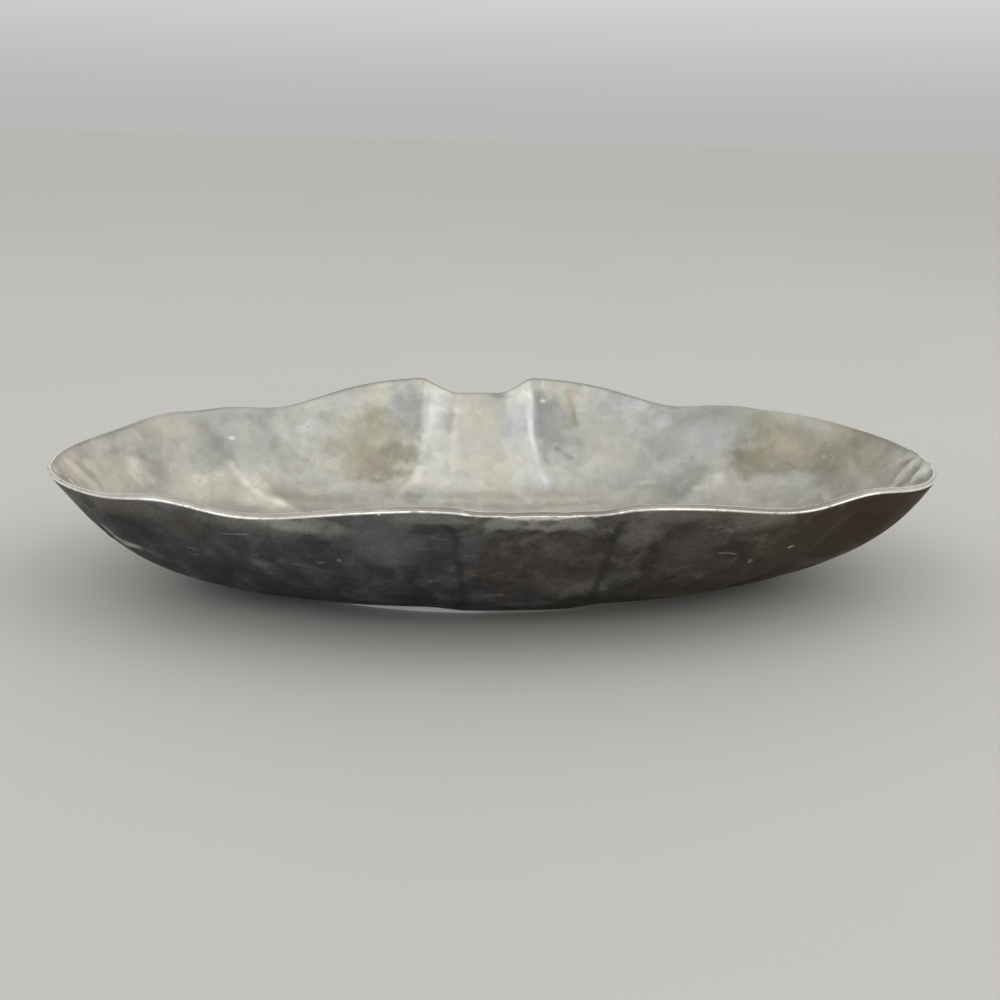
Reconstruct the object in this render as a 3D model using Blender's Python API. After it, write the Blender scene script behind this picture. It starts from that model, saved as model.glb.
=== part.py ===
"""Pewter serving platter at its real size, in metres, with +Z up.

The dish is one lobed oval shell of even thickness: a flat floor, a wall that bends up from it and a rim
cut square to the wall. At the middle of each long side a narrow panel is pressed inwards between two
ridges. Each side lobe carries a soft flute, and a crease parts it from the pointed end of the platter.
The dish stands on a low oval foot ring, held by a fillet of solder in the ring's inner corner.

X runs along the platter and Y across it. The platter stands on Z = 0, with the origin below its middle.
"""

from math import acos, copysign, cos, exp, hypot, pi, radians, sin, tau

import bmesh
import bpy

# The dish's oval, from outer edge to outer edge
RIM_LENGTH = 0.3600
RIM_WIDTH = 0.2240
RIM_FULLNESS = 0.92        # 1 is a true ellipse, and less fills out the shoulders
BASE_LENGTH = 0.2306       # where the flat floor turns up into the wall
BASE_WIDTH = 0.0964
WALL = 0.0018              # thickness of the shell

# The rim's height, above the table
RIM_HEIGHT = 0.0620        # beside the panels, at the outer edge
RIM_END_FALL = 0.0116      # how much lower the rim runs at the two ends

# The wall's profile, as shares of its rise and of its spread. A skew makes the right end (+X) fuller below
# and the left end straighter, as the worn platter is.
SIDE_TURN = 0.42           # where the wall steepens, at the long sides
SIDE_SOFTNESS = 0.10       # of that bend
SIDE_LOWER_SLOPE = 0.61    # the lower wall's slope beside the mean slope
END_TURN = 0.89            # the same three at the ends
END_SOFTNESS = 0.41
END_LOWER_SLOPE = 0.25
TURN_SKEW = 0.24
SLOPE_SKEW = 0.04
FLOOR_SOFTNESS = 0.05      # of the bend from the floor into the wall

# The pressed panel at the middle of each long side
PANEL_RIM_WIDTH = 0.0392   # between the middles of its two shoulders, at the rim
PANEL_BASE_WIDTH = 0.0526
PANEL_SHOULDER = 0.0163    # width over which a shoulder steps in
PANEL_PRESS = 0.0113       # how far the panel is pressed inwards at the rim
PANEL_SWELL = 0.0036       # how far its foot swells out over the foot ring

# The notch in the rim over the panel
NOTCH_WIDTH = 0.0350       # between the middles of its two shoulders
NOTCH_SHOULDER = 0.0215
NOTCH_DIP = 0.0056         # how much lower the rim is cut

# The ridge at each side of the panel, which flares away from it on its way down
RIDGE_PLACE = 0.0228       # distance from the middle, along the platter, at the rim
RIDGE_FLARE = 0.0700
RIDGE_DEPTH = 0.0010
RIDGE_SPREAD = 0.0034
RIDGE_RIM_FADE = 0.15      # shares of the wall over which the ridge dies away
RIDGE_FOOT_FADE = 0.40

# The soft flute in each side lobe
FLUTE_PLACE = 0.1038       # distance from the middle, along the platter
FLUTE_SPREAD = 0.0385
FLUTE_PRESS = 0.0100
FLUTE_DIP = 0.0065

# The crest of the rim between the flute and the end
CREST_PLACE = 0.1306
CREST_SPREAD = 0.0180
CREST_RISE = 0.0034

# The crease between a side lobe and the end
CREASE_RIM_PLACE = 0.1330  # distance from the middle, along the platter, at the rim
CREASE_BASE_PLACE = 0.0660
CREASE_DEPTH = 0.0022
CREASE_SPREAD = 0.0060

# The foot ring under the floor
FOOT_HEIGHT = 0.0034
FOOT_STRIP = 0.0030        # thickness of the ring's strip
FOOT_SIDE_SETBACK = 0.0018  # from the edge of the floor, at the long sides
FOOT_END_SETBACK = 0.0242
FOOT_EASE = 0.0004         # rounding of the ring's edges
SEAT_GAP = 0.0003

# The solder that holds the ring
SOLDER_LEG = 0.0014
SOLDER_HOLLOW = 0.0005     # how far its face curves in from the straight
SOLDER_GAP = 0.0003

RIM_EASE = 0.0003          # rounding of the rim's two edges

# How finely the surfaces are divided
PANEL_STEPS = 11
LOBE_STEPS = 12
END_STEPS = 11
WALL_STEPS = 12
FLOOR_STEPS = 3
LEVEL_SPACING = 1.25       # over 1, the rings lie closer together at the bend from the floor
RING_STEPS = 96

FLOOR_HEIGHT = FOOT_HEIGHT + SEAT_GAP
LEVEL_FADE = 1.6           # how fast a pressed form fades from the rim down


def ease(share):
    """Rises smoothly from 0 to 1 as share does."""
    share = min(max(share, 0.0), 1.0)
    return share * share * (3.0 - 2.0 * share)


def blend(start, end, share):
    """The value that lies share of the way from start to end."""
    return start + (end - start) * share


def bell(distance, spread):
    """1 at no distance, fading to nothing over a few spreads."""
    return exp(-((distance / spread) ** 2))


def cusp(distance, spread):
    """1 at no distance, with a narrow rounded peak and straight flanks."""
    tip = 0.3
    return exp(tip - hypot(distance / spread, tip))


def band(distance, half_width, shoulder):
    """1 inside half_width and 0 outside, stepping down over the width of shoulder."""
    return 1.0 - ease((abs(distance) - half_width) / shoulder + 0.5)


def oval(length, width, angle, fullness=1.0):
    """A point of an oval, at an angle from its long axis."""
    across = abs(sin(angle)) ** fullness
    return 0.5 * length * cos(angle), copysign(0.5 * width * across, sin(angle))


def outward(angle):
    """The direction that points squarely out of the rim's oval."""
    x = RIM_WIDTH * cos(angle)
    y = RIM_LENGTH * sin(angle)
    size = hypot(x, y)
    return x / size, y / size


def turn(share, place, softness):
    """The height of a profile that turns up at a place: 0 at its foot and 1 at its top."""
    def bent(value):
        return hypot(value - place, softness) + value - place

    return (bent(share) - bent(0.0)) / (bent(1.0) - bent(0.0))


def rise(level, angle):
    """How much of the wall's height is reached at a level, from 0 at its foot to 1 at the rim."""
    end = cos(angle) ** 2
    slope = blend(SIDE_LOWER_SLOPE, END_LOWER_SLOPE + SLOPE_SKEW * cos(angle), end)
    place = blend(SIDE_TURN, END_TURN + TURN_SKEW * cos(angle), end)
    softness = blend(SIDE_SOFTNESS, END_SOFTNESS, end)
    lifted = hypot(level, FLOOR_SOFTNESS) - FLOOR_SOFTNESS
    lifted /= hypot(1.0, FLOOR_SOFTNESS) - FLOOR_SOFTNESS
    return slope * lifted + (1.0 - slope) * turn(level, place, softness)


def rim_height(angle):
    """Height of the rim's outer edge above the table."""
    along = abs(oval(RIM_LENGTH, RIM_WIDTH, angle)[0])
    height = RIM_HEIGHT - RIM_END_FALL * cos(angle) ** 2
    height -= NOTCH_DIP * band(along, 0.5 * NOTCH_WIDTH, NOTCH_SHOULDER)
    height -= FLUTE_DIP * bell(along - FLUTE_PLACE, FLUTE_SPREAD)
    return height + CREST_RISE * bell(along - CREST_PLACE, CREST_SPREAD)


def press(along, level):
    """How far the wall is pressed inwards, at a distance along the platter and a level of the wall."""
    fade = level ** LEVEL_FADE
    half_panel = 0.5 * blend(PANEL_BASE_WIDTH, PANEL_RIM_WIDTH, level)
    panel = band(along, half_panel, PANEL_SHOULDER)
    flute_place = FLUTE_PLACE * blend(BASE_LENGTH / RIM_LENGTH, 1.0, level)
    crease_place = blend(CREASE_BASE_PLACE, CREASE_RIM_PLACE, level)
    ridge_place = RIDGE_PLACE + RIDGE_FLARE * (1.0 - level) ** 3
    ridge = ease(level / RIDGE_FOOT_FADE) * ease((1.0 - level) / RIDGE_RIM_FADE)
    crease = 4.0 * level * (1.0 - level)
    depth = panel * (PANEL_PRESS * fade - PANEL_SWELL * (1.0 - level) ** 2)
    depth += RIDGE_DEPTH * ridge * cusp(along - ridge_place, RIDGE_SPREAD)
    depth += FLUTE_PRESS * fade * bell(along - flute_place, FLUTE_SPREAD)
    return depth + CREASE_DEPTH * crease * cusp(along - crease_place, CREASE_SPREAD)


def wall_point(base_angle, rim_angle, level):
    """A point of the wall's outer face, from level 0 at the floor to level 1 at the rim."""
    base_x, base_y = oval(BASE_LENGTH, BASE_WIDTH, base_angle)
    rim_x, rim_y = oval(RIM_LENGTH, RIM_WIDTH, rim_angle, RIM_FULLNESS)
    x = blend(base_x, rim_x, level)
    y = blend(base_y, rim_y, level)
    depth = press(abs(x), level)
    out_x, out_y = outward(rim_angle)
    z = blend(FLOOR_HEIGHT, rim_height(rim_angle), rise(level, rim_angle))
    return x - depth * out_x, y - depth * out_y, z


def stretch(start, end, steps):
    """Evenly spaced pairs of angles from start up to, but not at, end."""
    return [
        (blend(start[0], end[0], step / steps), blend(start[1], end[1], step / steps))
        for step in range(steps)
    ]


def quarter_angles():
    """Base and rim angles from an end of the platter to the middle of a long side."""
    crease = (
        acos(CREASE_BASE_PLACE / (0.5 * BASE_LENGTH)),
        acos(CREASE_RIM_PLACE / (0.5 * RIM_LENGTH)),
    )
    panel = (
        acos((PANEL_BASE_WIDTH + PANEL_SHOULDER) / BASE_LENGTH),
        acos((PANEL_RIM_WIDTH + PANEL_SHOULDER) / RIM_LENGTH),
    )
    middle = (0.5 * pi, 0.5 * pi)
    angles = stretch((0.0, 0.0), crease, END_STEPS)
    angles += stretch(crease, panel, LOBE_STEPS)
    angles += stretch(panel, middle, PANEL_STEPS)
    return angles + [middle]


def round_angles():
    """Base and rim angles all the way round, each quarter mirrored from the one before."""
    quarter = quarter_angles()
    back = [(pi - base, pi - rim) for base, rim in reversed(quarter[:-1])]
    half = quarter + back
    front = [(tau - base, tau - rim) for base, rim in reversed(half[1:-1])]
    return half + front


def add_ring(mesh, points):
    """Adds a closed ring of vertices, joined by edges, and returns its vertices."""
    ring = [mesh.verts.new(point) for point in points]
    for start, end in zip(ring, ring[1:] + ring[:1]):
        mesh.edges.new((start, end))
    return ring


def join_rings(mesh, lower, upper):
    """Fills the band between two rings that have as many vertices as each other."""
    count = len(lower)
    for index in range(count):
        after = (index + 1) % count
        mesh.faces.new((lower[index], lower[after], upper[after], upper[index]))


def make_object(name, mesh, material, sharp_angle):
    """Links a shaded object to the scene, made from a bmesh."""
    bmesh.ops.recalc_face_normals(mesh, faces=mesh.faces)
    data = bpy.data.meshes.new(name)
    mesh.to_mesh(data)
    mesh.free()
    data.shade_smooth()
    data.set_sharp_from_angle(angle=radians(sharp_angle))
    data.materials.append(material)
    part = bpy.data.objects.new(name, data)
    bpy.context.scene.collection.objects.link(part)
    return part


def make_material(name, colour, roughness, metallic):
    """A plain metal finish."""
    material = bpy.data.materials.new(name)
    material.use_nodes = True
    shader = material.node_tree.nodes["Principled BSDF"]
    shader.inputs["Base Color"].default_value = (*colour, 1.0)
    shader.inputs["Roughness"].default_value = roughness
    shader.inputs["Metallic"].default_value = metallic
    return material


def make_dish(material):
    """The lobed shell: its outer face ring by ring, then its thickness, then its rounded rim edges."""
    angles = round_angles()
    mesh = bmesh.new()
    middle = mesh.verts.new((0.0, 0.0, FLOOR_HEIGHT))
    rings = []
    for step in range(1, FLOOR_STEPS):
        share = step / FLOOR_STEPS
        floor = [wall_point(base, rim, 0.0) for base, rim in angles]
        rings.append(add_ring(mesh, [(x * share, y * share, z) for x, y, z in floor]))
    for step in range(WALL_STEPS + 1):
        level = (step / WALL_STEPS) ** LEVEL_SPACING
        rings.append(add_ring(mesh, [wall_point(base, rim, level) for base, rim in angles]))
    for start, end in zip(rings[0], rings[0][1:] + rings[0][:1]):
        mesh.faces.new((middle, end, start))
    for lower, upper in zip(rings, rings[1:]):
        join_rings(mesh, lower, upper)
    dish = make_object("dish", mesh, material, 40.0)

    shell = dish.modifiers.new("wall thickness", "SOLIDIFY")
    shell.thickness = WALL
    shell.offset = -1.0
    shell.use_even_offset = True
    shell.use_quality_normals = True
    edges = dish.modifiers.new("eased rim edges", "BEVEL")
    edges.width = RIM_EASE
    edges.segments = 1
    edges.limit_method = "ANGLE"
    edges.angle_limit = radians(60.0)
    return dish


def sweep_oval(name, length, width, section, material):
    """A closed ring of an oval plan, whose section is a list of (distance inwards, height) points."""
    mesh = bmesh.new()
    rings = []
    for inward, height in section:
        points = []
        for step in range(RING_STEPS):
            x, y = oval(length - 2.0 * inward, width - 2.0 * inward, tau * step / RING_STEPS)
            points.append((x, y, height))
        rings.append(add_ring(mesh, points))
    for lower, upper in zip(rings, rings[1:] + rings[:1]):
        join_rings(mesh, lower, upper)
    return make_object(name, mesh, material, 50.0)


def foot_size():
    """Length and width of the foot ring's outer oval."""
    return BASE_LENGTH - 2.0 * FOOT_END_SETBACK, BASE_WIDTH - 2.0 * FOOT_SIDE_SETBACK


def make_foot_ring(material):
    """The strip that the platter stands on, with its four edges eased."""
    length, width = foot_size()
    section = [
        (FOOT_EASE, 0.0),
        (0.0, FOOT_EASE),
        (0.0, FOOT_HEIGHT - FOOT_EASE),
        (FOOT_EASE, FOOT_HEIGHT),
        (FOOT_STRIP - FOOT_EASE, FOOT_HEIGHT),
        (FOOT_STRIP, FOOT_HEIGHT - FOOT_EASE),
        (FOOT_STRIP, FOOT_EASE),
        (FOOT_STRIP - FOOT_EASE, 0.0),
    ]
    return sweep_oval("foot_ring", length, width, section, material)


def make_foot_solder(material):
    """The hollow fillet of solder in the corner between the foot ring and the floor."""
    length, width = foot_size()
    near = FOOT_STRIP + SOLDER_GAP
    top = FLOOR_HEIGHT - SOLDER_GAP
    section = [
        (near, top),
        (near, top - SOLDER_LEG),
        (near + SOLDER_HOLLOW, top - SOLDER_HOLLOW),
        (near + SOLDER_LEG, top),
    ]
    return sweep_oval("foot_solder", length, width, section, material)


def build():
    """Clears the scene and makes the platter's three pieces."""
    for item in list(bpy.data.objects):
        bpy.data.objects.remove(item)
    pewter = make_material("worn pewter", (0.42, 0.41, 0.37), 0.38, 1.0)
    foot_pewter = make_material("foot pewter", (0.30, 0.30, 0.29), 0.42, 1.0)
    solder = make_material("dull solder", (0.36, 0.36, 0.35), 0.50, 1.0)
    make_dish(pewter)
    make_foot_ring(foot_pewter)
    make_foot_solder(solder)


build()
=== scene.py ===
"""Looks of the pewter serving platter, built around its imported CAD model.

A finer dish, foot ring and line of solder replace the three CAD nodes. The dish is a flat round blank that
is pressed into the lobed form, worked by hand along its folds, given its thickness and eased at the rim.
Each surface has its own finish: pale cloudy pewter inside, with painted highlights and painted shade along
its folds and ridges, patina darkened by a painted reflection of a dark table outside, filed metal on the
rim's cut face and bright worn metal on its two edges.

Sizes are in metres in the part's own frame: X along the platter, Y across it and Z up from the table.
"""

from __future__ import annotations

import logging
from dataclasses import dataclass, field
from enum import Enum
from math import acos, atan2, copysign, cos, exp, hypot, pi, radians, sin

import bpy
from mathutils import Matrix, Vector, noise
from mathutils.bvhtree import BVHTree


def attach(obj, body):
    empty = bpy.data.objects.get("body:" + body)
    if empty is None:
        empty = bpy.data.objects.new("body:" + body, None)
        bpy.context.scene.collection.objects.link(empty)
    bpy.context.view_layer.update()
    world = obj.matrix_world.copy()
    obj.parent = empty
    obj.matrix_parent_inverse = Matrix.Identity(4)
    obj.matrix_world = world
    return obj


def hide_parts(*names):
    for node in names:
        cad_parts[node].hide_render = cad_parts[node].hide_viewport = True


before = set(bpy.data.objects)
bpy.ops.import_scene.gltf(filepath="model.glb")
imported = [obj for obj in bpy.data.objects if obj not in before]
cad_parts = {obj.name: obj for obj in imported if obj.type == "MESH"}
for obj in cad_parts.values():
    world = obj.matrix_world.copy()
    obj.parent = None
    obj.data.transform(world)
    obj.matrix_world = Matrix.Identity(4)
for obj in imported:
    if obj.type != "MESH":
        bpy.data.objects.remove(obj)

Colour = tuple[float, float, float]
Place = tuple[float, float, float]
Pixel = tuple[float, float]
Range = tuple[float, float]
Socket = bpy.types.NodeSocket
Value = float | Colour | Place | Socket

LOG = logging.getLogger("platter")


# Small forms that the shell is made of


def ease(share: float) -> float:
    """Rises smoothly from 0 to 1 as share does."""
    share = min(max(share, 0.0), 1.0)
    return share * share * (3.0 - 2.0 * share)


def blend(start: float, end: float, share: float) -> float:
    """The value that lies share of the way from start to end."""
    return start + (end - start) * share


def bell(distance: float, spread: float) -> float:
    """1 at no distance, fading to nothing over a few spreads."""
    return exp(-((distance / spread) ** 2))


def cusp(distance: float, spread: float) -> float:
    """1 at no distance, with a narrow rounded peak and straight flanks."""
    tip = 0.3
    return exp(tip - hypot(distance / spread, tip))


def band(distance: float, half_width: float, shoulder: float) -> float:
    """1 inside half_width and 0 outside, stepping down over the width of shoulder."""
    return 1.0 - ease((abs(distance) - half_width) / shoulder + 0.5)


@dataclass(frozen=True)
class LobedForm:
    """The dish's outer face as a formula, nearly the same as in the CAD source."""

    rim_length: float = 0.3598
    rim_width: float = 0.2237
    rim_fullness: float = 0.92
    base_length: float = 0.2306
    base_width: float = 0.0964
    floor_height: float = 0.0037
    rim_height: float = 0.0616
    rim_end_fall: float = 0.0116
    side_turn: float = 0.42
    side_softness: float = 0.10
    side_lower_slope: float = 0.61
    end_turn: float = 0.89
    end_softness: float = 0.41
    end_lower_slope: float = 0.25
    turn_skew: float = 0.24
    slope_skew: float = 0.04
    floor_softness: float = 0.05
    panel_rim_width: float = 0.0392
    panel_base_width: float = 0.0526
    panel_shoulder: float = 0.0163
    panel_press: float = 0.0113
    panel_swell: float = 0.0036
    notch_width: float = 0.0388
    notch_shoulder: float = 0.0205
    notch_dip: float = 0.0056
    ridge_place: float = 0.0228
    ridge_flare: float = 0.070
    ridge_depth: float = 0.0010
    ridge_spread: float = 0.0034
    ridge_rim_fade: float = 0.15
    ridge_foot_fade: float = 0.80
    flute_place: float = 0.1038
    flute_spread: float = 0.0385
    flute_press: float = 0.0100
    flute_dip: float = 0.0065
    crest_place: float = 0.1306
    crest_spread: float = 0.0180
    crest_rise: float = 0.0034
    crease_rim_place: float = 0.1330
    crease_base_place: float = 0.0660
    crease_depth: float = 0.0022
    crease_spread: float = 0.0060
    level_fade: float = 1.6
    # how the points are shared out between an end, the crease, the panel and the middle of a side
    end_stop: float = 0.14
    crease_stop: float = 0.37
    panel_stop: float = 0.76
    end_share: float = 0.2

    @staticmethod
    def turn(share: float, place: float, softness: float) -> float:
        """The height of a profile that turns up at a place, from 0 at its foot to 1 at its top."""

        def bent(value: float) -> float:
            return hypot(value - place, softness) + value - place

        return (bent(share) - bent(0.0)) / (bent(1.0) - bent(0.0))

    def rise(self, level: float, angle: float) -> float:
        """How much of the wall's height is reached at a level.

        Args:
            level: 0 at the wall's foot and 1 at the rim.
            angle: place round the platter, from the right end of its long axis.

        Returns:
            A share of the height, from 0 to 1.
        """
        end = cos(angle) ** 2
        slope = blend(self.side_lower_slope, self.end_lower_slope + self.slope_skew * cos(angle), end)
        place = blend(self.side_turn, self.end_turn + self.turn_skew * cos(angle), end)
        softness = blend(self.side_softness, self.end_softness, end)
        lifted = hypot(level, self.floor_softness) - self.floor_softness
        lifted /= hypot(1.0, self.floor_softness) - self.floor_softness
        return slope * lifted + (1.0 - slope) * self.turn(level, place, softness)

    def top(self, angle: float) -> float:
        """Height of the rim's outer edge above the table."""
        along = 0.5 * self.rim_length * abs(cos(angle))
        height = self.rim_height - self.rim_end_fall * cos(angle) ** 2
        height -= self.notch_dip * band(along, 0.5 * self.notch_width, self.notch_shoulder)
        height -= self.flute_dip * bell(along - self.flute_place, self.flute_spread)
        return height + self.crest_rise * bell(along - self.crest_place, self.crest_spread)

    def press(self, along: float, level: float) -> float:
        """How far the wall is pressed inwards, at a distance along the platter and a level of the wall."""
        fade = level**self.level_fade
        half_panel = 0.5 * blend(self.panel_base_width, self.panel_rim_width, level)
        panel = band(along, half_panel, self.panel_shoulder)
        flute_place = self.flute_place * blend(self.base_length / self.rim_length, 1.0, level)
        crease_place = blend(self.crease_base_place, self.crease_rim_place, level)
        ridge_place = self.ridge_place + self.ridge_flare * (1.0 - level) ** 3
        ridge = ease(level / self.ridge_foot_fade) * ease((1.0 - level) / self.ridge_rim_fade)
        crease = 4.0 * level * (1.0 - level)
        depth = panel * (self.panel_press * fade - self.panel_swell * (1.0 - level) ** 2)
        depth += self.ridge_depth * ridge * cusp(along - ridge_place, self.ridge_spread)
        depth += self.flute_press * fade * bell(along - flute_place, self.flute_spread)
        return depth + self.crease_depth * crease * cusp(along - crease_place, self.crease_spread)

    def quarter_angles(self, share: float) -> tuple[float, float]:
        """Base and rim angles at a share of the way from an end to the middle of a long side."""
        crease_base = acos(self.crease_base_place / (0.5 * self.base_length))
        crease_rim = acos(self.crease_rim_place / (0.5 * self.rim_length))
        panel_base = acos((self.panel_base_width + self.panel_shoulder) / self.base_length)
        panel_rim = acos((self.panel_rim_width + self.panel_shoulder) / self.rim_length)
        stops = (
            (0.0, 0.0, 0.0),
            (self.end_stop, self.end_share * crease_base, self.end_share * crease_rim),
            (self.crease_stop, crease_base, crease_rim),
            (self.panel_stop, panel_base, panel_rim),
            (1.0, 0.5 * pi, 0.5 * pi),
        )
        for before, after in zip(stops, stops[1:]):
            if share <= after[0] or after is stops[-1]:
                part = (share - before[0]) / (after[0] - before[0])
                return blend(before[1], after[1], part), blend(before[2], after[2], part)
        raise ValueError(share)

    def point(self, share: float, level: float, spread: float, side: float) -> Place:
        """A point of the outer face in the quarters where Y is positive.

        Args:
            share: place between an end, 0, and the middle of a long side, 1.
            level: 0 at the wall's foot and 1 at the rim.
            spread: how far out on the floor the point lies, and 1 anywhere on the wall.
            side: 1 for the right half and -1 for the left.

        Returns:
            The point, in metres.
        """
        base, rim = self.quarter_angles(share)
        x = blend(0.5 * self.base_length * cos(base), 0.5 * self.rim_length * cos(rim), level)
        rim_y = 0.5 * self.rim_width * sin(rim) ** self.rim_fullness
        y = blend(0.5 * self.base_width * sin(base), rim_y, level)
        depth = self.press(x, level)
        out_x = self.rim_width * cos(rim)
        out_y = self.rim_length * sin(rim)
        size = hypot(out_x, out_y)
        rise = self.rise(level, rim if side > 0.0 else pi - rim)
        z = blend(self.floor_height, self.top(rim), rise)
        return side * (x - depth * out_x / size) * spread, (y - depth * out_y / size) * spread, z


# Tools that a maker uses on a mesh

WELD = 0.000002


def only(piece: bpy.types.Object) -> None:
    """Makes a piece the one selected and active object."""
    bpy.ops.object.select_all(action="DESELECT")
    piece.select_set(True)
    bpy.context.view_layer.objects.active = piece


def keep_modifier(piece: bpy.types.Object, name: str, kind: str, **settings: object) -> None:
    """Adds a modifier to a piece and applies it.

    Args:
        piece: the piece to change.
        name: what the modifier does.
        kind: Blender's name for the modifier.
        **settings: its settings.
    """
    modifier = piece.modifiers.new(name, kind)
    for key, value in settings.items():
        setattr(modifier, key, value)
    only(piece)
    bpy.ops.object.modifier_apply(modifier=modifier.name)


def start_round(name: str, steps: int, radius: float, fill: str) -> bpy.types.Object:
    """A new circle, left in edit mode with its edges selected.

    Args:
        name: the piece's name.
        steps: how many points the circle has.
        radius: its radius.
        fill: Blender's name for what fills it.

    Returns:
        The circle.
    """
    bpy.ops.object.select_all(action="DESELECT")
    bpy.ops.mesh.primitive_circle_add(vertices=steps, radius=radius, fill_type=fill)
    piece = bpy.context.active_object
    piece.name = name
    piece.data.name = name
    bpy.ops.object.mode_set(mode="EDIT")
    bpy.ops.mesh.select_mode(type="EDGE")
    bpy.ops.mesh.select_all(action="SELECT")
    return piece


def extrude_round(size: Place) -> None:
    """Extrudes the selected edges and scales them about the middle of the piece."""
    bpy.ops.mesh.extrude_edges_move()
    bpy.ops.transform.resize(value=size, center_override=(0.0, 0.0, 0.0))


def end_round() -> None:
    """Joins points that lie together, turns the faces outwards and leaves edit mode."""
    bpy.ops.mesh.select_all(action="SELECT")
    bpy.ops.mesh.remove_doubles(threshold=WELD)
    bpy.ops.mesh.normals_make_consistent(inside=False)
    bpy.ops.object.mode_set(mode="OBJECT")


def round_blank(name: str, spokes: int, radii: list[float]) -> bpy.types.Object:
    """A flat round blank, facing down, as a fan with rings extruded from its edge.

    Args:
        name: the piece's name.
        spokes: how many points each ring has.
        radii: the rings' radii, from the innermost.

    Returns:
        The blank, left in object mode.
    """
    blank = start_round(name, spokes, radii[0], "TRIFAN")
    bpy.ops.mesh.region_to_loop()
    for before, after in zip(radii, radii[1:]):
        extrude_round((after / before, after / before, 1.0))
    end_round()
    if blank.data.polygons[0].normal.z > 0.0:
        blank.data.flip_normals()
    return blank


def hoop(
    name: str, steps: int, length: float, width: float, section: list[tuple[float, float]]
) -> bpy.types.Object:
    """A closed ring of an oval plan, extruded round its section from one oval of edges.

    Args:
        name: the piece's name.
        steps: how many points each oval has.
        length: outer length of the oval.
        width: outer width of the oval.
        section: points of the section, each a distance inwards and a height.

    Returns:
        The ring, left in object mode with its faces outwards.
    """
    ring = start_round(name, steps, 1.0, "NOTHING")
    half = [(0.5 * length - inward, 0.5 * width - inward, height) for inward, height in section]
    bpy.ops.transform.resize(value=(half[0][0], half[0][1], 1.0))
    bpy.ops.transform.translate(value=(0.0, 0.0, half[0][2]))
    for before, after in zip(half, half[1:] + half[:1]):
        extrude_round((after[0] / before[0], after[1] / before[1], 1.0))
        bpy.ops.transform.translate(value=(0.0, 0.0, after[2] - before[2]))
    end_round()
    return ring


def ease_edges(
    piece: bpy.types.Object, width: float, segments: int, angle: float, material: int = -1
) -> None:
    """Bevels the edges that are sharper than an angle.

    Args:
        piece: the piece to change.
        width: how wide the bevel is.
        segments: how many faces it has across.
        angle: the angle, in degrees.
        material: the number of the bevel's own material, if it has one.
    """
    how = {"limit_method": "ANGLE", "angle_limit": radians(angle), "material": material}
    keep_modifier(piece, "eased edges", "BEVEL", width=width, segments=segments, **how)


def finish_shading(piece: bpy.types.Object, angle: float) -> None:
    """Shades a piece smoothly, but keeps edges sharper than an angle in degrees."""
    only(piece)
    bpy.ops.object.shade_smooth_by_angle(angle=radians(angle))


# Node trees


class Graph:
    """Adds nodes to one tree and links them."""

    def __init__(self, tree: bpy.types.NodeTree) -> None:
        """Args:
            tree: the node tree of a material, a group or a world.
        """
        self.tree = tree
        self.place: Socket | None = None

    def add(self, kind: str, values: dict[str | int, Value], **settings: object) -> bpy.types.Node:
        """Adds a node.

        Args:
            kind: Blender's name for the node, without the word ShaderNode before it.
            values: what its inputs hold or are linked from, by name or number.
            **settings: its settings.

        Returns:
            The new node.
        """
        node = self.tree.nodes.new("ShaderNode" + kind)
        for key, value in settings.items():
            setattr(node, key, value)
        for key, value in values.items():
            self.feed(node.inputs[key], value)
        return node

    def feed(self, socket: Socket, value: Value) -> None:
        """Links a value to a socket if it is one, and otherwise sets it there."""
        if isinstance(value, Socket):
            self.tree.links.new(value, socket)
        elif isinstance(value, tuple) and socket.type == "RGBA":
            socket.default_value = (*value, 1.0)
        else:
            socket.default_value = value

    def math(self, operation: str, first: Value, second: Value = 0.0) -> Socket:
        """What a Math node gives."""
        return self.add("Math", {0: first, 1: second}, operation=operation).outputs[0]

    def times(self, first: Value, second: Value) -> Socket:
        """One value times another."""
        return self.math("MULTIPLY", first, second)

    def plus(self, first: Value, second: Value) -> Socket:
        """One value and another."""
        return self.math("ADD", first, second)

    def less(self, first: Value, second: Value) -> Socket:
        """One value less another."""
        return self.math("SUBTRACT", first, second)

    def vector(self, operation: str, *values: Value, output: str = "Vector") -> Socket:
        """What a Vector Math node gives."""
        return self.add("VectorMath", dict(enumerate(values)), operation=operation).outputs[output]

    def scale(self, vector: Value, amount: Value) -> Socket:
        """A vector made longer, or a colour made lighter, by an amount that is 1 where it stays."""
        return self.add("VectorMath", {0: vector, "Scale": amount}, operation="SCALE").outputs[0]

    def step(self, value: Value, low: Value, high: Value) -> Socket:
        """0 below low and 1 above high, rising smoothly between them. Low may be the larger."""
        inputs = {"Value": value, "From Min": low, "From Max": high}
        return self.add("MapRange", inputs, interpolation_type="SMOOTHSTEP").outputs[0]

    def span(self, value: Value, low: float, high: float) -> Socket:
        """A mask from 0 to 1, stretched straight to run from low to high."""
        return self.add("MapRange", {"Value": value, "To Min": low, "To Max": high}).outputs[0]

    def paint(self, share: Value, under: Value, over: Value) -> Socket:
        """One colour laid over another by a mask."""
        return self.add("Mix", {0: share, 6: under, 7: over}, data_type="RGBA").outputs[2]

    def noise(self, scale: Value, detail: float = 3.0, output: str = "Fac", **more: Value) -> Socket:
        """Noise about one half, at the graph's place or at another Vector."""
        values = {"Vector": self.place, "Scale": scale, "Detail": detail, **more}
        return self.add("TexNoise", values).outputs[output]


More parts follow.
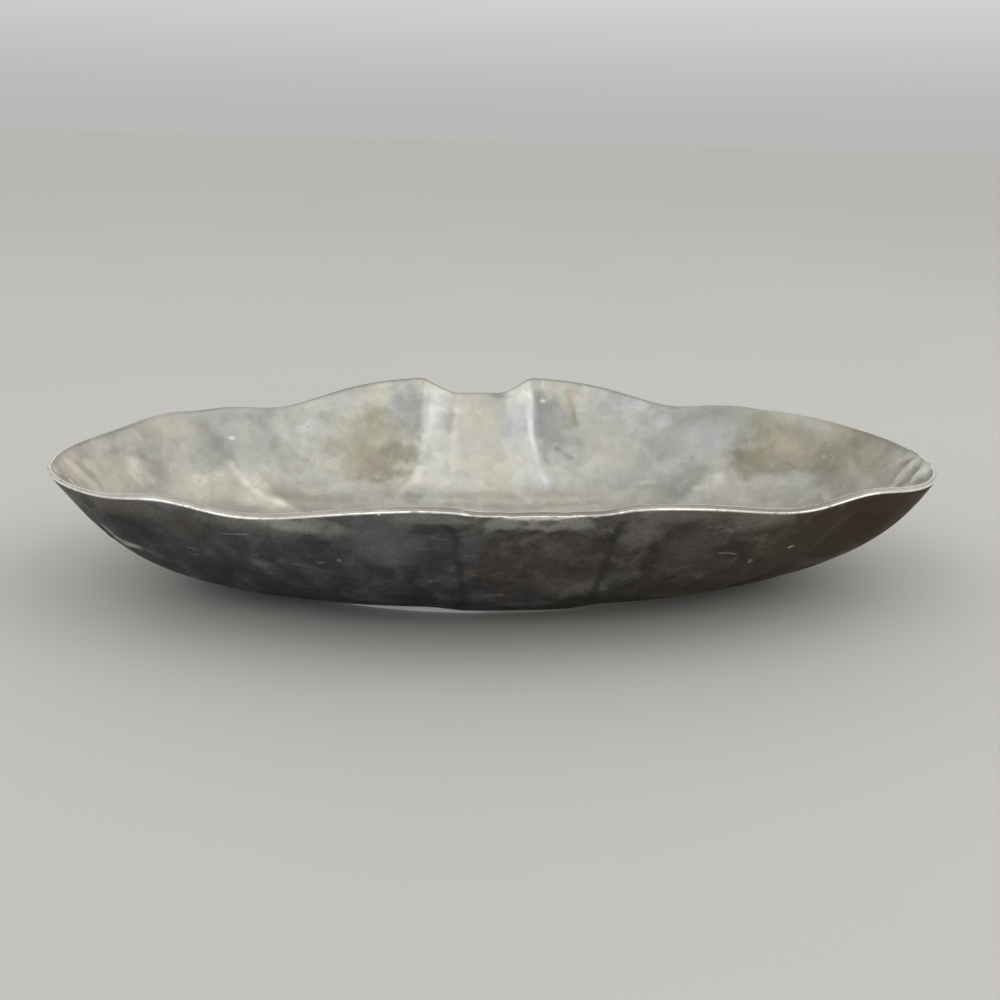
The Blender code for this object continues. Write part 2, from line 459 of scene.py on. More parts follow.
class Group(Graph):
    """A group of nodes that several materials share, with the place on the piece as its first input."""

    def __init__(
        self, name: str, inputs: dict[str, float | Place], outputs: tuple[str, ...] = ("Mask",)
    ) -> None:
        """Args:
            name: the group's name.
            inputs: its other inputs, each with its usual value.
            outputs: the names of its outputs, all of them masks.
        """
        super().__init__(bpy.data.node_groups.new(name, "ShaderNodeTree"))
        face = self.tree.interface
        for key, value in {"Vector": (0.0, 0.0, 0.0), **inputs}.items():
            kind = "NodeSocketVector" if isinstance(value, tuple) else "NodeSocketFloat"
            face.new_socket(key, in_out="INPUT", socket_type=kind).default_value = value
        for key in outputs:
            face.new_socket(key, in_out="OUTPUT", socket_type="NodeSocketFloat")
        self.given = self.tree.nodes.new("NodeGroupInput").outputs
        self.out = self.tree.nodes.new("NodeGroupOutput").inputs
        self.place = self.given["Vector"]


class Effects:
    """The node groups that the finishes share, each built once."""

    # how the edges of the spangle's patches wander, and how scratches do
    spangle_drift = 110.0
    scratch_drift = 14.0
    scratch_wander = 0.006
    # how much finer scratches are than their patches, and where in the noise both show
    fineness = 12.0
    scratch_levels = (0.70, 0.76)
    patch_levels = (0.52, 0.62)
    # how soon a tapered streak reaches its full strength
    taper_slope = 6.0

    def __init__(self) -> None:
        """Builds every group."""
        self.clouds = self.make_clouds()
        self.spangle = self.make_spangle()
        self.scratches = self.make_scratches()
        self.specks = self.make_specks()
        self.patch = self.make_patch()
        self.streak = self.make_streak()

    @staticmethod
    def make_clouds() -> Group:
        """Soft clouds of tarnish: a mask that is 0 to 1 with a share that Cover sets."""
        group = Group("tarnish clouds", {"Scale": 20.0, "Cover": 0.5, "Softness": 0.2})
        given = group.given
        pattern = group.noise(given["Scale"], 6.0, Roughness=0.6, Distortion=0.4)
        middle = group.less(1.0, given["Cover"])
        low = group.less(middle, given["Softness"])
        high = group.plus(middle, given["Softness"])
        group.feed(group.out["Mask"], group.step(pattern, low, high))
        return group

    @classmethod
    def make_spangle(cls) -> Group:
        """Ragged patches that each have a tone and a warmth of their own, as the grains of cast metal do."""
        group = Group("cast spangle", {"Scale": 90.0, "Wander": 0.01}, ("Tone", "Warmth"))
        drift = group.noise(cls.spangle_drift, 4.0, "Color", Roughness=0.6)
        moved = group.scale(group.vector("SUBTRACT", drift, (0.5, 0.5, 0.5)), group.given["Wander"])
        cells = {
            "Vector": group.vector("ADD", group.place, moved),
            "Scale": group.given["Scale"],
            "Smoothness": 0.25,
        }
        colours = group.add("TexVoronoi", cells, feature="SMOOTH_F1").outputs["Color"]
        lots = group.add("SeparateColor", {0: colours}).outputs
        group.feed(group.out["Tone"], lots[0])
        group.feed(group.out["Warmth"], lots[1])
        return group

    @classmethod
    def make_scratches(cls) -> Group:
        """Fine short scratches that run about one way."""
        group = Group("fine scratches", {"Scale": 60.0, "Length": 12.0, "Amount": 0.5})
        given = group.given
        bent = group.scale(group.noise(cls.scratch_drift, 2.0, "Color"), cls.scratch_wander)
        moved = group.vector("ADD", group.place, bent)
        squeeze = group.add("CombineXYZ", {0: group.math("DIVIDE", 1.0, given["Length"]), 1: 1.0, 2: 1.0})
        drawn = group.vector("MULTIPLY", moved, squeeze.outputs[0])
        fine = group.noise(group.times(given["Scale"], cls.fineness), 1.0, Vector=drawn)
        lines = group.step(fine, *cls.scratch_levels)
        where = group.step(group.noise(given["Scale"], 2.0), *cls.patch_levels)
        group.feed(group.out["Mask"], group.times(group.times(lines, where), given["Amount"]))
        return group

    @staticmethod
    def make_specks() -> Group:
        """Scattered small pits or specks."""
        group = Group("specks", {"Scale": 150.0, "Size": 0.12, "Share": 0.2})
        given = group.given
        cells = group.add("TexVoronoi", {"Vector": group.place, "Scale": given["Scale"]}).outputs
        lot = group.add("SeparateColor", {0: cells["Color"]}).outputs[0]
        picked = group.math("LESS_THAN", lot, given["Share"])
        near = group.step(cells["Distance"], given["Size"], 0.0)
        group.feed(group.out["Mask"], group.times(picked, near))
        return group

    @staticmethod
    def stray(group: Group, distance: Socket) -> Socket:
        """A distance from a mark, made larger here and smaller there by what Edge and Wander say."""
        shift = group.times(group.less(group.given["Edge"], 0.5), group.given["Wander"])
        return group.plus(distance, shift)

    @classmethod
    def make_patch(cls) -> Group:
        """One patch of colour about a point, with an edge that wanders."""
        none = (0.0, 0.0, 0.0)
        group = Group("patch", {"Centre": none, "Reach": none, "Edge": 0.5, "Wander": 0.6, "Softness": 0.5})
        given = group.given
        offset = group.vector("SUBTRACT", group.place, given["Centre"])
        scaled = group.vector("DIVIDE", offset, given["Reach"])
        distance = cls.stray(group, group.vector("LENGTH", scaled, output="Value"))
        group.feed(group.out["Mask"], group.step(distance, 1.0, group.less(1.0, given["Softness"])))
        return group

    @classmethod
    def make_streak(cls) -> Group:
        """One streak along a line from a start to an end, as wide on both sides."""
        none = (0.0, 0.0, 0.0)
        looks = {"Width": 0.001, "Taper": 0.0, "Edge": 0.5, "Wander": 0.4}
        group = Group("streak", {"Start": none, "End": none, **looks})
        given = group.given
        path = group.vector("SUBTRACT", given["End"], given["Start"])
        offset = group.vector("SUBTRACT", group.place, given["Start"])
        reach = group.vector("DOT_PRODUCT", offset, path, output="Value")
        whole = group.vector("DOT_PRODUCT", path, path, output="Value")
        along = group.add("Math", {0: reach, 1: whole}, operation="DIVIDE", use_clamp=True).outputs[0]
        across = group.vector("SUBTRACT", offset, group.scale(path, along))
        distance = group.vector("LENGTH", across, output="Value")
        strayed = cls.stray(group, group.math("DIVIDE", distance, given["Width"]))
        bow = group.times(along, group.less(1.0, along))
        ends = group.math("MINIMUM", group.times(bow, cls.taper_slope), 1.0)
        tapered = group.times(given["Taper"], group.less(1.0, ends))
        mask = group.times(group.step(strayed, 1.0, 0.0), group.less(1.0, tapered))
        group.feed(group.out["Mask"], mask)
        return group


class Skin(Graph):
    """A new material and its graph, on the piece's own coordinates."""

    # the noise that the edges of marks wander with
    edge_scale = 170.0
    edge_detail = 5.0

    def __init__(self, name: str, metallic: float) -> None:
        """Args:
            name: the material's name.
            metallic: how metallic it is.
        """
        self.material = bpy.data.materials.new(name)
        self.material.use_nodes = True
        super().__init__(self.material.node_tree)
        self.shader = self.tree.nodes["Principled BSDF"].inputs
        self.shader["Metallic"].default_value = metallic
        self.place = self.add("TexCoord", {}).outputs["Object"]

    def level(self) -> Socket:
        """How far up the wall a point is."""
        return self.add("Attribute", {}, attribute_name="level").outputs["Fac"]

    def along(self) -> Socket:
        """How far along the platter a point is."""
        return self.add("SeparateXYZ", {0: self.place}).outputs[0]

    def use(self, group: Group, **values: Value) -> bpy.types.bpy_prop_collection:
        """Places a group of nodes on the piece.

        Args:
            group: the group.
            **values: what its inputs hold or are linked from.

        Returns:
            The group's outputs.
        """
        return self.add("Group", {"Vector": self.place, **values}, node_tree=group.tree).outputs

    def lay(self, effects: Effects, colour: Value, marks: tuple[Mark, ...]) -> Value:
        """Lays marks over a colour, in order.

        Args:
            effects: the shared groups.
            colour: the colour under the marks.
            marks: the marks to lay.

        Returns:
            The marked colour.
        """
        edge = self.noise(self.edge_scale, self.edge_detail)
        for mark in marks:
            share = self.times(mark.mask(self, effects, edge), mark.strength)
            colour = self.paint(share, colour, mark.colour)
        return colour

    def dress(
        self, colour: Value, gloss: Value, height: Value, strength: float = 0.3, depth: float = 0.0005
    ) -> bpy.types.Material:
        """Feeds the shader.

        Args:
            colour: the metal's colour.
            gloss: its roughness.
            height: the height of its small bumps, from about 0 to 1.
            strength: how strongly the bumps show.
            depth: how high they are, in metres.

        Returns:
            The finished material.
        """
        bump = self.add("Bump", {"Strength": strength, "Distance": depth, "Height": height}).outputs[0]
        for key, value in (("Base Color", colour), ("Roughness", gloss), ("Normal", bump)):
            self.feed(self.shader[key], value)
        return self.material


@dataclass(frozen=True)
class Patch:
    """A patch of colour about a point: a mark of dirt or tarnish, a rubbed place, painted light or painted
    shade.
    """

    centre: Place
    reach: Place
    colour: Colour
    strength: float = 0.6
    wander: float = 1.0
    softness: float = 0.6

    def span(self) -> Range:
        """The least and the greatest X that the patch can reach."""
        reach = self.reach[0] * (1.0 + 0.5 * self.wander)
        return self.centre[0] - reach, self.centre[0] + reach

    def mask(self, skin: Skin, effects: Effects, edge: Socket) -> Socket:
        """Where the patch lies, from 0 to 1."""
        form = {"Centre": self.centre, "Reach": self.reach, "Softness": self.softness}
        return skin.use(effects.patch, Edge=edge, Wander=self.wander, **form)["Mask"]


@dataclass(frozen=True)
class Streak:
    """A streak, crease, scratch, painted highlight or painted shade along a line."""

    line: tuple[Place, ...]
    width: float
    colour: Colour
    strength: float = 0.6
    taper: float = 0.0
    wander: float = 0.4

    def span(self) -> Range:
        """The least and the greatest X that the streak can reach."""
        reach = self.width * (1.0 + 0.5 * self.wander)
        along = [place[0] for place in self.line]
        return min(along) - reach, max(along) + reach

    def mask(self, skin: Skin, effects: Effects, edge: Socket) -> Socket:
        """Where the streak lies, from 0 to 1."""
        form = {"Width": self.width, "Taper": self.taper, "Wander": self.wander}
        parts = [
            skin.use(effects.streak, Start=start, End=end, Edge=edge, **form)["Mask"]
            for start, end in zip(self.line, self.line[1:])
        ]
        whole = parts[0]
        for part in parts[1:]:
            whole = skin.math("MAXIMUM", whole, part)
        return whole


Mark = Patch | Streak


@dataclass(frozen=True)
class Finish:
    """What every finish has: a name, how metallic and how rough it is, and its marks."""

    name: str
    metallic: float
    roughness: float
    marks: tuple[Mark, ...] = ()

    # how far the roughness strays from the usual, where a mask is 0 and where it is 1
    gloss_shifts = (0.0, 0.0)

    def gloss(self, skin: Skin, mask: Socket) -> Socket:
        """The roughness over the surface, by a mask of patches."""
        low, high = self.gloss_shifts
        return skin.span(mask, self.roughness + low, self.roughness + high)


@dataclass(frozen=True)
class InsidePewter(Finish):
    """Pale pewter, clouded and softly stained, darker towards the ends and up the wall, and with painted
    light and painted shade among its marks.
    """

    name: str = "pale cloudy pewter"
    metallic: float = 0.75
    roughness: float = 0.36
    cool: Colour = (0.475, 0.478, 0.462)
    warm: Colour = (0.52, 0.508, 0.440)
    shade: Colour = (0.41, 0.403, 0.362)
    grime_and_shade: Colour = (0.20, 0.195, 0.17)
    shade_share: float = 0.4
    lightness: float = 1.3
    # how far from the middle the colour gets darker, and how much darker it is at the rim there
    darkening: Range = (0.015, 0.095)
    darkness: Range = (0.15, 0.50)
    grain_warmths: Range = (-0.2, 0.2)
    grain_tones: Range = (0.92, 1.08)
    fleck_tones: Range = (0.95, 1.05)
    pit_share: float = 0.35
    rim_levels: Range = (0.975, 0.998)
    rim_share: float = 0.30
    small_height: float = 0.6
    grain_height: float = 0.25
    fleck_height: float = 0.12

    gloss_shifts = (-0.04, 0.10)

    def make(self, effects: Effects) -> bpy.types.Material:
        """Builds the material."""
        skin = Skin(self.name, self.metallic)
        level = skin.level()
        wide = skin.use(effects.clouds, Scale=17.0, Cover=0.5, Softness=0.16)["Mask"]
        small = skin.use(effects.clouds, Scale=48.0, Cover=0.46, Softness=0.12)["Mask"]
        grains = skin.use(effects.spangle, Scale=150.0, Wander=0.012)
        flecks = skin.use(effects.spangle, Scale=240.0, Wander=0.008)
        pits = skin.use(effects.specks, Scale=170.0, Size=0.12, Share=0.10)["Mask"]
        warmth = skin.plus(wide, skin.span(grains["Warmth"], *self.grain_warmths))
        colour = skin.paint(skin.step(warmth, 0.0, 1.0), self.cool, self.warm)
        colour = skin.paint(skin.times(small, self.shade_share), colour, self.shade)
        away = skin.step(skin.math("ABSOLUTE", skin.along()), *self.darkening)
        darkening = skin.times(skin.math("SQRT", level), skin.span(away, *self.darkness))
        colour = skin.scale(colour, skin.less(self.lightness, darkening))
        colour = skin.lay(effects, colour, self.marks)
        colour = skin.scale(colour, skin.span(grains["Tone"], *self.grain_tones))
        colour = skin.scale(colour, skin.span(flecks["Tone"], *self.fleck_tones))
        colour = skin.paint(skin.times(pits, self.pit_share), colour, self.grime_and_shade)
        # a darker band just under the rim: dirt and painted shade
        rim_grime_and_shade = skin.times(skin.step(level, *self.rim_levels), self.rim_share)
        colour = skin.paint(rim_grime_and_shade, colour, self.grime_and_shade)
        height = skin.times(small, self.small_height)
        height = skin.plus(height, skin.times(grains["Tone"], self.grain_height))
        height = skin.plus(height, skin.times(flecks["Tone"], self.fleck_height))
        return skin.dress(colour, self.gloss(skin, small), skin.less(height, pits))


@dataclass(frozen=True)
class PatinaAndReflection(Finish):
    """Patina, darkened by a painted reflection of a dark brown table; lighter below the rim, partly rubbed
    and partly a painted reflection; lightly scratched.
    """

    name: str = "patina and painted reflection"
    metallic: float = 0.7
    roughness: float = 0.46
    glint: float = 0.3
    glint_colour: Colour = (0.50, 0.46, 0.42)
    blue: Colour = (0.122, 0.124, 0.136)
    brown: Colour = (0.116, 0.100, 0.080)
    worn: Colour = (0.190, 0.188, 0.184)
    # the light band under the rim: partly rubbed metal, partly a painted reflection of the lighter table
    # further off
    band: Colour = (0.42, 0.41, 0.37)
    bare: Colour = (0.50, 0.49, 0.45)
    # where the blue left side turns into the brown right side, whose brown is a painted reflection of the
    # brown table
    turning: Range = (-0.09, 0.12)
    worn_share: float = 0.55
    small_tones: Range = (0.68, 1.42)
    grain_tones: Range = (0.74, 1.28)
    dust_scale: float = 900.0
    dust_tones: Range = (0.62, 1.38)
    band_levels: Range = (0.86, 0.985)
    band_wander: Range = (-0.05, 0.05)
    band_shares: Range = (0.25, 0.60)
    dot_share: float = 0.6
    scar_share: float = 0.5
    small_height: float = 0.6
    grain_height: float = 0.2
    scar_depth: float = 0.5

    gloss_shifts = (0.06, -0.06)

    def make(self, effects: Effects) -> bpy.types.Material:
        """Builds the material."""
        skin = Skin(self.name, self.metallic)
        skin.feed(skin.shader["Specular IOR Level"], self.glint)
        skin.feed(skin.shader["Specular Tint"], self.glint_colour)
        wide = skin.use(effects.clouds, Scale=26.0, Cover=0.42, Softness=0.12)["Mask"]
        small = skin.use(effects.clouds, Scale=75.0, Cover=0.45, Softness=0.12)["Mask"]
        grains = skin.use(effects.spangle, Scale=120.0, Wander=0.014)
        lines = skin.use(effects.scratches, Scale=45.0, Length=14.0, Amount=0.5)["Mask"]
        dots = skin.use(effects.specks, Scale=210.0, Size=0.12, Share=0.07)["Mask"]
        colour = skin.paint(skin.step(skin.along(), *self.turning), self.blue, self.brown)
        colour = skin.paint(skin.times(wide, self.worn_share), colour, self.worn)
        colour = skin.scale(colour, skin.span(small, *self.small_tones))
        colour = skin.scale(colour, skin.span(grains["Tone"], *self.grain_tones))
        # lighter under the rim: partly rubbed, partly a painted reflection
        ragged = skin.plus(skin.level(), skin.span(grains["Warmth"], *self.band_wander))
        rubbed = skin.times(skin.step(ragged, *self.band_levels), skin.span(wide, *self.band_shares))
        colour = skin.lay(effects, skin.paint(rubbed, colour, self.band), self.marks)
        colour = skin.scale(colour, skin.span(skin.noise(self.dust_scale), *self.dust_tones))
        scars = skin.math("MAXIMUM", lines, skin.times(dots, self.dot_share))
        colour = skin.paint(skin.times(scars, self.scar_share), colour, self.bare)
        height = skin.times(small, self.small_height)
        height = skin.plus(height, skin.times(grains["Tone"], self.grain_height))
        height = skin.less(height, skin.times(scars, self.scar_depth))
        return skin.dress(colour, self.gloss(skin, small), height)


@dataclass(frozen=True)
class BareMetal(Finish):
    """Metal of one colour, with duller patches: the filed rim, its worn edges, the solder, and the foot ring,
    which carries painted light and painted shade.
    """

    bright: Colour = (0.6, 0.6, 0.57)
    dull: Colour = (0.35, 0.35, 0.33)
    cover: float = 0.5
    scale: float = 120.0
    bump: float = 0.2
    bump_depth: float = 0.0003

    gloss_shifts = (-0.05, 0.12)

    def make(self, effects: Effects) -> bpy.types.Material:
        """Builds the material."""
        skin = Skin(self.name, self.metallic)
        patches = skin.use(effects.clouds, Scale=self.scale, Cover=self.cover, Softness=0.14)["Mask"]
        colour = skin.lay(effects, skin.paint(patches, self.bright, self.dull), self.marks)
        lines = skin.use(effects.scratches, Scale=90.0, Length=6.0, Amount=1.0)["Mask"]
        return skin.dress(colour, self.gloss(skin, patches), lines, self.bump, self.bump_depth)


def zoned(
    kind: type[InsidePewter] | type[PatinaAndReflection], marks: tuple[Mark, ...], effects: Effects
) -> list[bpy.types.Material]:
    """One finish as a material for each zone along the platter, which holds only the marks that reach it.

    Args:
        kind: the finish.
        marks: all its marks.
        effects: the shared groups.

    Returns:
        The materials, from the left zone to the right one.
    """
    edges = (-1.0, *ZONE_CUTS, 1.0)
    zones = []
    for low, high in zip(edges, edges[1:]):
        there = tuple(mark for mark in marks if mark.span()[0] < high and mark.span()[1] > low)
        zones.append(kind(marks=there).make(effects))
    return zones


# The pieces

ZONE_CUTS = (-0.106, -0.040, 0.040, 0.100)


@dataclass(frozen=True)
class Bend:
    """A place where the rim was bent up or down, at the back, at the front or on both sides."""

    place: float
    spread: float
    rise: float
    side: float = 0.0

    # how a bend fades down the wall, and across the middle where only one side has it
    level_fade = 1.6
    side_fade = 0.02

    def lift(self, x: float, y: float, level: float) -> float:
        """How far the bend lifts a point of the wall."""
        share = 1.0 if self.side == 0.0 else ease(self.side * y / self.side_fade + 0.5)
        return self.rise * bell(x - self.place, self.spread) * share * level**self.level_fade


@dataclass(frozen=True)
class Fold:
    """A narrow fold worked into the shell along a line. A height above 0 stands up inside the dish."""

    line: tuple[Place, ...]
    height: float
    width: float
    steep_side: Place = (0.0, 0.0, 0.0)
    steepness: float = 1.0

    # how deep through the metal and how many widths away a fold still lifts a point
    depth = 0.006
    widths = 3.0
    # the share of it that fades at each end
    end_fade = 0.2

    def lift(self, place: Vector, normal: Vector) -> float:
        """How far the fold lifts a point of the shell, towards the inside.

        Args:
            place: the point.
            normal: the shell's direction outwards there.

        Returns:
            The lift, in metres.
        """
        near = 0.0
        share = 0.0
        total = len(self.line) - 1
        middle = (Vector(self.line[0]) + Vector(self.line[-1])) / 2.0
        reach = (Vector(self.line[0]) - middle).length + self.widths * self.width + self.depth
        if (place - middle).length > reach:
            return 0.0
        for index in range(total):
            start = Vector(self.line[index])
            path = Vector(self.line[index + 1]) - start
            along = min(max((place - start).dot(path) / path.length_squared, 0.0), 1.0)
            offset = place - start - along * path
            depth = offset.dot(normal)
            if abs(depth) > self.depth:
                continue
            across = offset - depth * normal
            steep = across.dot(Vector(self.steep_side)) > 0.0
            strength = bell(across.length, self.width / self.steepness if steep else self.width)
            if strength > near:
                near = strength
                share = (index + along) / total
        return self.height * near * ease(share / self.end_fade) * ease((1.0 - share) / self.end_fade)


class ShellFace(Enum):
    """The dish's surfaces, in the order of its materials."""

    OUTSIDE = 0
    INSIDE = 1
    RIM = 2
    EDGE = 3


@dataclass
class Dish:
    """The lobed shell."""

    form: LobedForm = field(default_factory=LobedForm)
    wall: float = 0.0018
    rim_wall: float = 0.0030
    rim_ease: float = 0.0005
    # the left end is pinched narrower than the form, towards its tip
    pinch: float = 0.14
    pinch_place: float = 0.140
    pinch_length: float = 0.040
    # where the rim gets thicker: by so much on the lobes and on their crests, and by less at the two tips
    thick_level: float = 0.90
    thick_fade: float = 0.10
    lobe_share: float = 0.65
    crest_share: float = 0.95
    crest_place: float = 0.125
    crest_spread: float = 0.024
    right_loss: float = 0.5
    right_place: float = 0.150
    left_loss: float = 0.65
    left_place: float = 0.134
    tip_fade: float = 0.025
    spokes: int = 680
    floor_rings: int = 8
    wall_rings: int = 56
    ring_crowding: float = 1.25
    # the unevenness of a cast wall, which is calm at the rim and at the foot
    unevenness: float = 0.00025
    wide_waves: float = 34.0
    small_waves: float = 80.0
    small_share: float = 0.5
    calm_level: float = 0.85
    calm_fade: float = 0.15
    foot_fade: float = 0.1
    edge_angle: float = 60.0
    smooth_angle: float = 40.0
    folds: tuple[Fold, ...] = ()
    bends: tuple[Bend, ...] = ()

    def blank_radii(self) -> list[float]:
        """Radii of the blank's rings. The floor's outer edge is at 1 and the rim at 2."""
        floor = [(ring + 1) / self.floor_rings for ring in range(self.floor_rings)]
        wall = []
        for ring in range(self.wall_rings):
            share = (ring + 1) / self.wall_rings
            wall.append(1.0 + blend(share, share**self.ring_crowding, 1.0 - share))
        return floor + wall

    def press(self, blank: bpy.types.Object) -> None:
        """Presses the flat blank into the lobed form and notes each point's level up the wall."""
        mesh = blank.data
        levels = []
        for vertex in mesh.vertices:
            flat = vertex.co
            reach = hypot(flat.x, flat.y)
            share = atan2(abs(flat.y), abs(flat.x)) / (0.5 * pi)
            level = max(reach - 1.0, 0.0)
            x, y, z = self.form.point(share, level, min(reach, 1.0), copysign(1.0, flat.x))
            y = copysign(y, flat.y) * (1.0 - self.pinch * ease((-x - self.pinch_place) / self.pinch_length))
            vertex.co = (x, y, z + sum(bend.lift(x, y, level) for bend in self.bends))
            levels.append(level)
        attribute = mesh.attributes.new("level", "FLOAT", "POINT")
        attribute.data.foreach_set("value", levels)
        mesh.update()

    def work(self, shell: bpy.types.Object) -> None:
        """Works the folds into the shell by hand, and the slight unevenness of a cast wall."""
        mesh = shell.data
        normals = [normal.vector.copy() for normal in mesh.vertex_normals]
        levels = [item.value for item in mesh.attributes["level"].data]
        for vertex, normal, level in zip(mesh.vertices, normals, levels):
            lift = sum(fold.lift(vertex.co, normal) for fold in self.folds)
            calm = 1.0 - ease((level - self.calm_level) / self.calm_fade)
            wave = noise.noise(vertex.co * self.wide_waves)
            wave += self.small_share * noise.noise(vertex.co * self.small_waves)
            lift += self.unevenness * wave * calm * ease(level / self.foot_fade)
            vertex.co = vertex.co - normal * lift
        mesh.update()

    def weigh_rim(self, shell: bpy.types.Object) -> None:
        """Notes where the wall thickens towards the rim, most of all beside the pinched ends."""
        group = shell.vertex_groups.new(name="rim")
        for vertex, item in zip(shell.data.vertices, shell.data.attributes["level"].data):
            x = vertex.co.x
            loss = self.right_loss * ease((x - self.right_place) / self.tip_fade)
            loss += self.left_loss * ease((-x - self.left_place) / self.tip_fade)
            crest = bell(abs(x) - self.crest_place, self.crest_spread)
            share = blend(self.lobe_share, self.crest_share, crest) - loss
            weight = ease((item.value - self.thick_level) / self.thick_fade) * share
            group.add([vertex.index], weight, "REPLACE")

    @staticmethod
    def divide(dish: bpy.types.Object, face: ShellFace, zones: list[bpy.types.Material]) -> None:
        """Gives each zone of a surface, along the platter, its own material.

        Args:
            dish: the dish, whose whole surface has the first zone's material.
            face: the surface.
            zones: its materials, from the left zone to the right one.
        """
        others = len(dish.data.materials) - 1
        for material in zones[1:]:
            dish.data.materials.append(material)
        for polygon in dish.data.polygons:
            zone = sum(polygon.center.x > cut for cut in ZONE_CUTS)
            if polygon.material_index == face.value and zone:
                polygon.material_index = others + zone

    def shape(self, finishes: dict[ShellFace, list[bpy.types.Material]]) -> bpy.types.Object:
        """Makes the dish's mesh.

        Args:
            finishes: the materials of each of its surfaces, one or one for each zone.

        Returns:
            The piece, which doesn't yet stand for the CAD node.
        """
        dish = round_blank("dish_shell", self.spokes, self.blank_radii())
        self.press(dish)
        self.work(dish)
        self.weigh_rim(dish)
        for face in ShellFace:
            dish.data.materials.append(finishes[face][0])
        keep_modifier(
            dish,
            "thickness",
            "SOLIDIFY",
            thickness=self.rim_wall,
            offset=-1.0,
            vertex_group="rim",
            thickness_vertex_group=self.wall / self.rim_wall,
            use_even_offset=True,
            use_quality_normals=True,
            material_offset=ShellFace.INSIDE.value,
            material_offset_rim=ShellFace.RIM.value,
        )
        ease_edges(dish, self.rim_ease, 2, self.edge_angle, ShellFace.EDGE.value)
        for face in (ShellFace.OUTSIDE, ShellFace.INSIDE):
            self.divide(dish, face, finishes[face])
        finish_shading(dish, self.smooth_angle)
        return dish

    def build(self, finishes: dict[ShellFace, list[bpy.types.Material]]) -> bpy.types.Object:
        """Makes the dish, which takes the place of the CAD node."""
        dish = self.shape(finishes)
        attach(dish, "root")
        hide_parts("dish")
        return dish


@dataclass
class Foot:
    """The low oval ring that the platter stands on, and the solder that holds it."""

    length: float = 0.1822
    width: float = 0.0928
    height: float = 0.0034
    strip: float = 0.0030
    ease: float = 0.0004
    solder_leg: float = 0.0014
    solder_turns: tuple[float, ...] = (0.0, 0.4, 0.8, 1.2)
    gap: float = 0.0003
    steps: int = 240
    edge_angle: float = 50.0
    ring_angle: float = 40.0
    solder_angle: float = 60.0

    def build_ring(self, finish: bpy.types.Material) -> bpy.types.Object:
        """Makes the ring, with its four long edges bevelled."""
        section = [(0.0, 0.0), (0.0, self.height), (self.strip, self.height), (self.strip, 0.0)]
        ring = hoop("foot_band", self.steps, self.length, self.width, section)
        ease_edges(ring, self.ease, 3, self.edge_angle)
        ring.data.materials.append(finish)
        finish_shading(ring, self.ring_angle)
        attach(ring, "root")
        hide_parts("foot_ring")
        return ring

    def build_solder(self, finish: bpy.types.Material) -> bpy.types.Object:
        """Makes the hollow fillet of solder in the ring's inner corner."""
        near = self.strip + self.gap
        top = self.height
        leg = self.solder_leg
        face = [(near + leg * (1.0 - cos(turn)), top - leg * (1.0 - sin(turn))) for turn in self.solder_turns]
        section = [(near, top), *face, (near + leg, top)]
        solder = hoop("solder_line", self.steps, self.length, self.width, section)
        solder.data.materials.append(finish)
        finish_shading(solder, self.solder_angle)
        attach(solder, "root")
        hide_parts("foot_solder")
        return solder


# The room


@dataclass(frozen=True)
class Window:
    """A square soft light that faces the platter."""

    name: str
    place: Place
    power: float
    colour: Colour
    size: float = 1.6

    def build(self) -> None:
        """Makes the light."""
        data = bpy.data.lights.new(self.name, "AREA")
        data.size = self.size
        data.energy = self.power
        data.color = self.colour
        light = bpy.data.objects.new(self.name, data)
        light.location = self.place
        light.rotation_euler = (-Vector(self.place)).to_track_quat("-Z", "Y").to_euler()
        bpy.context.scene.collection.objects.link(light)


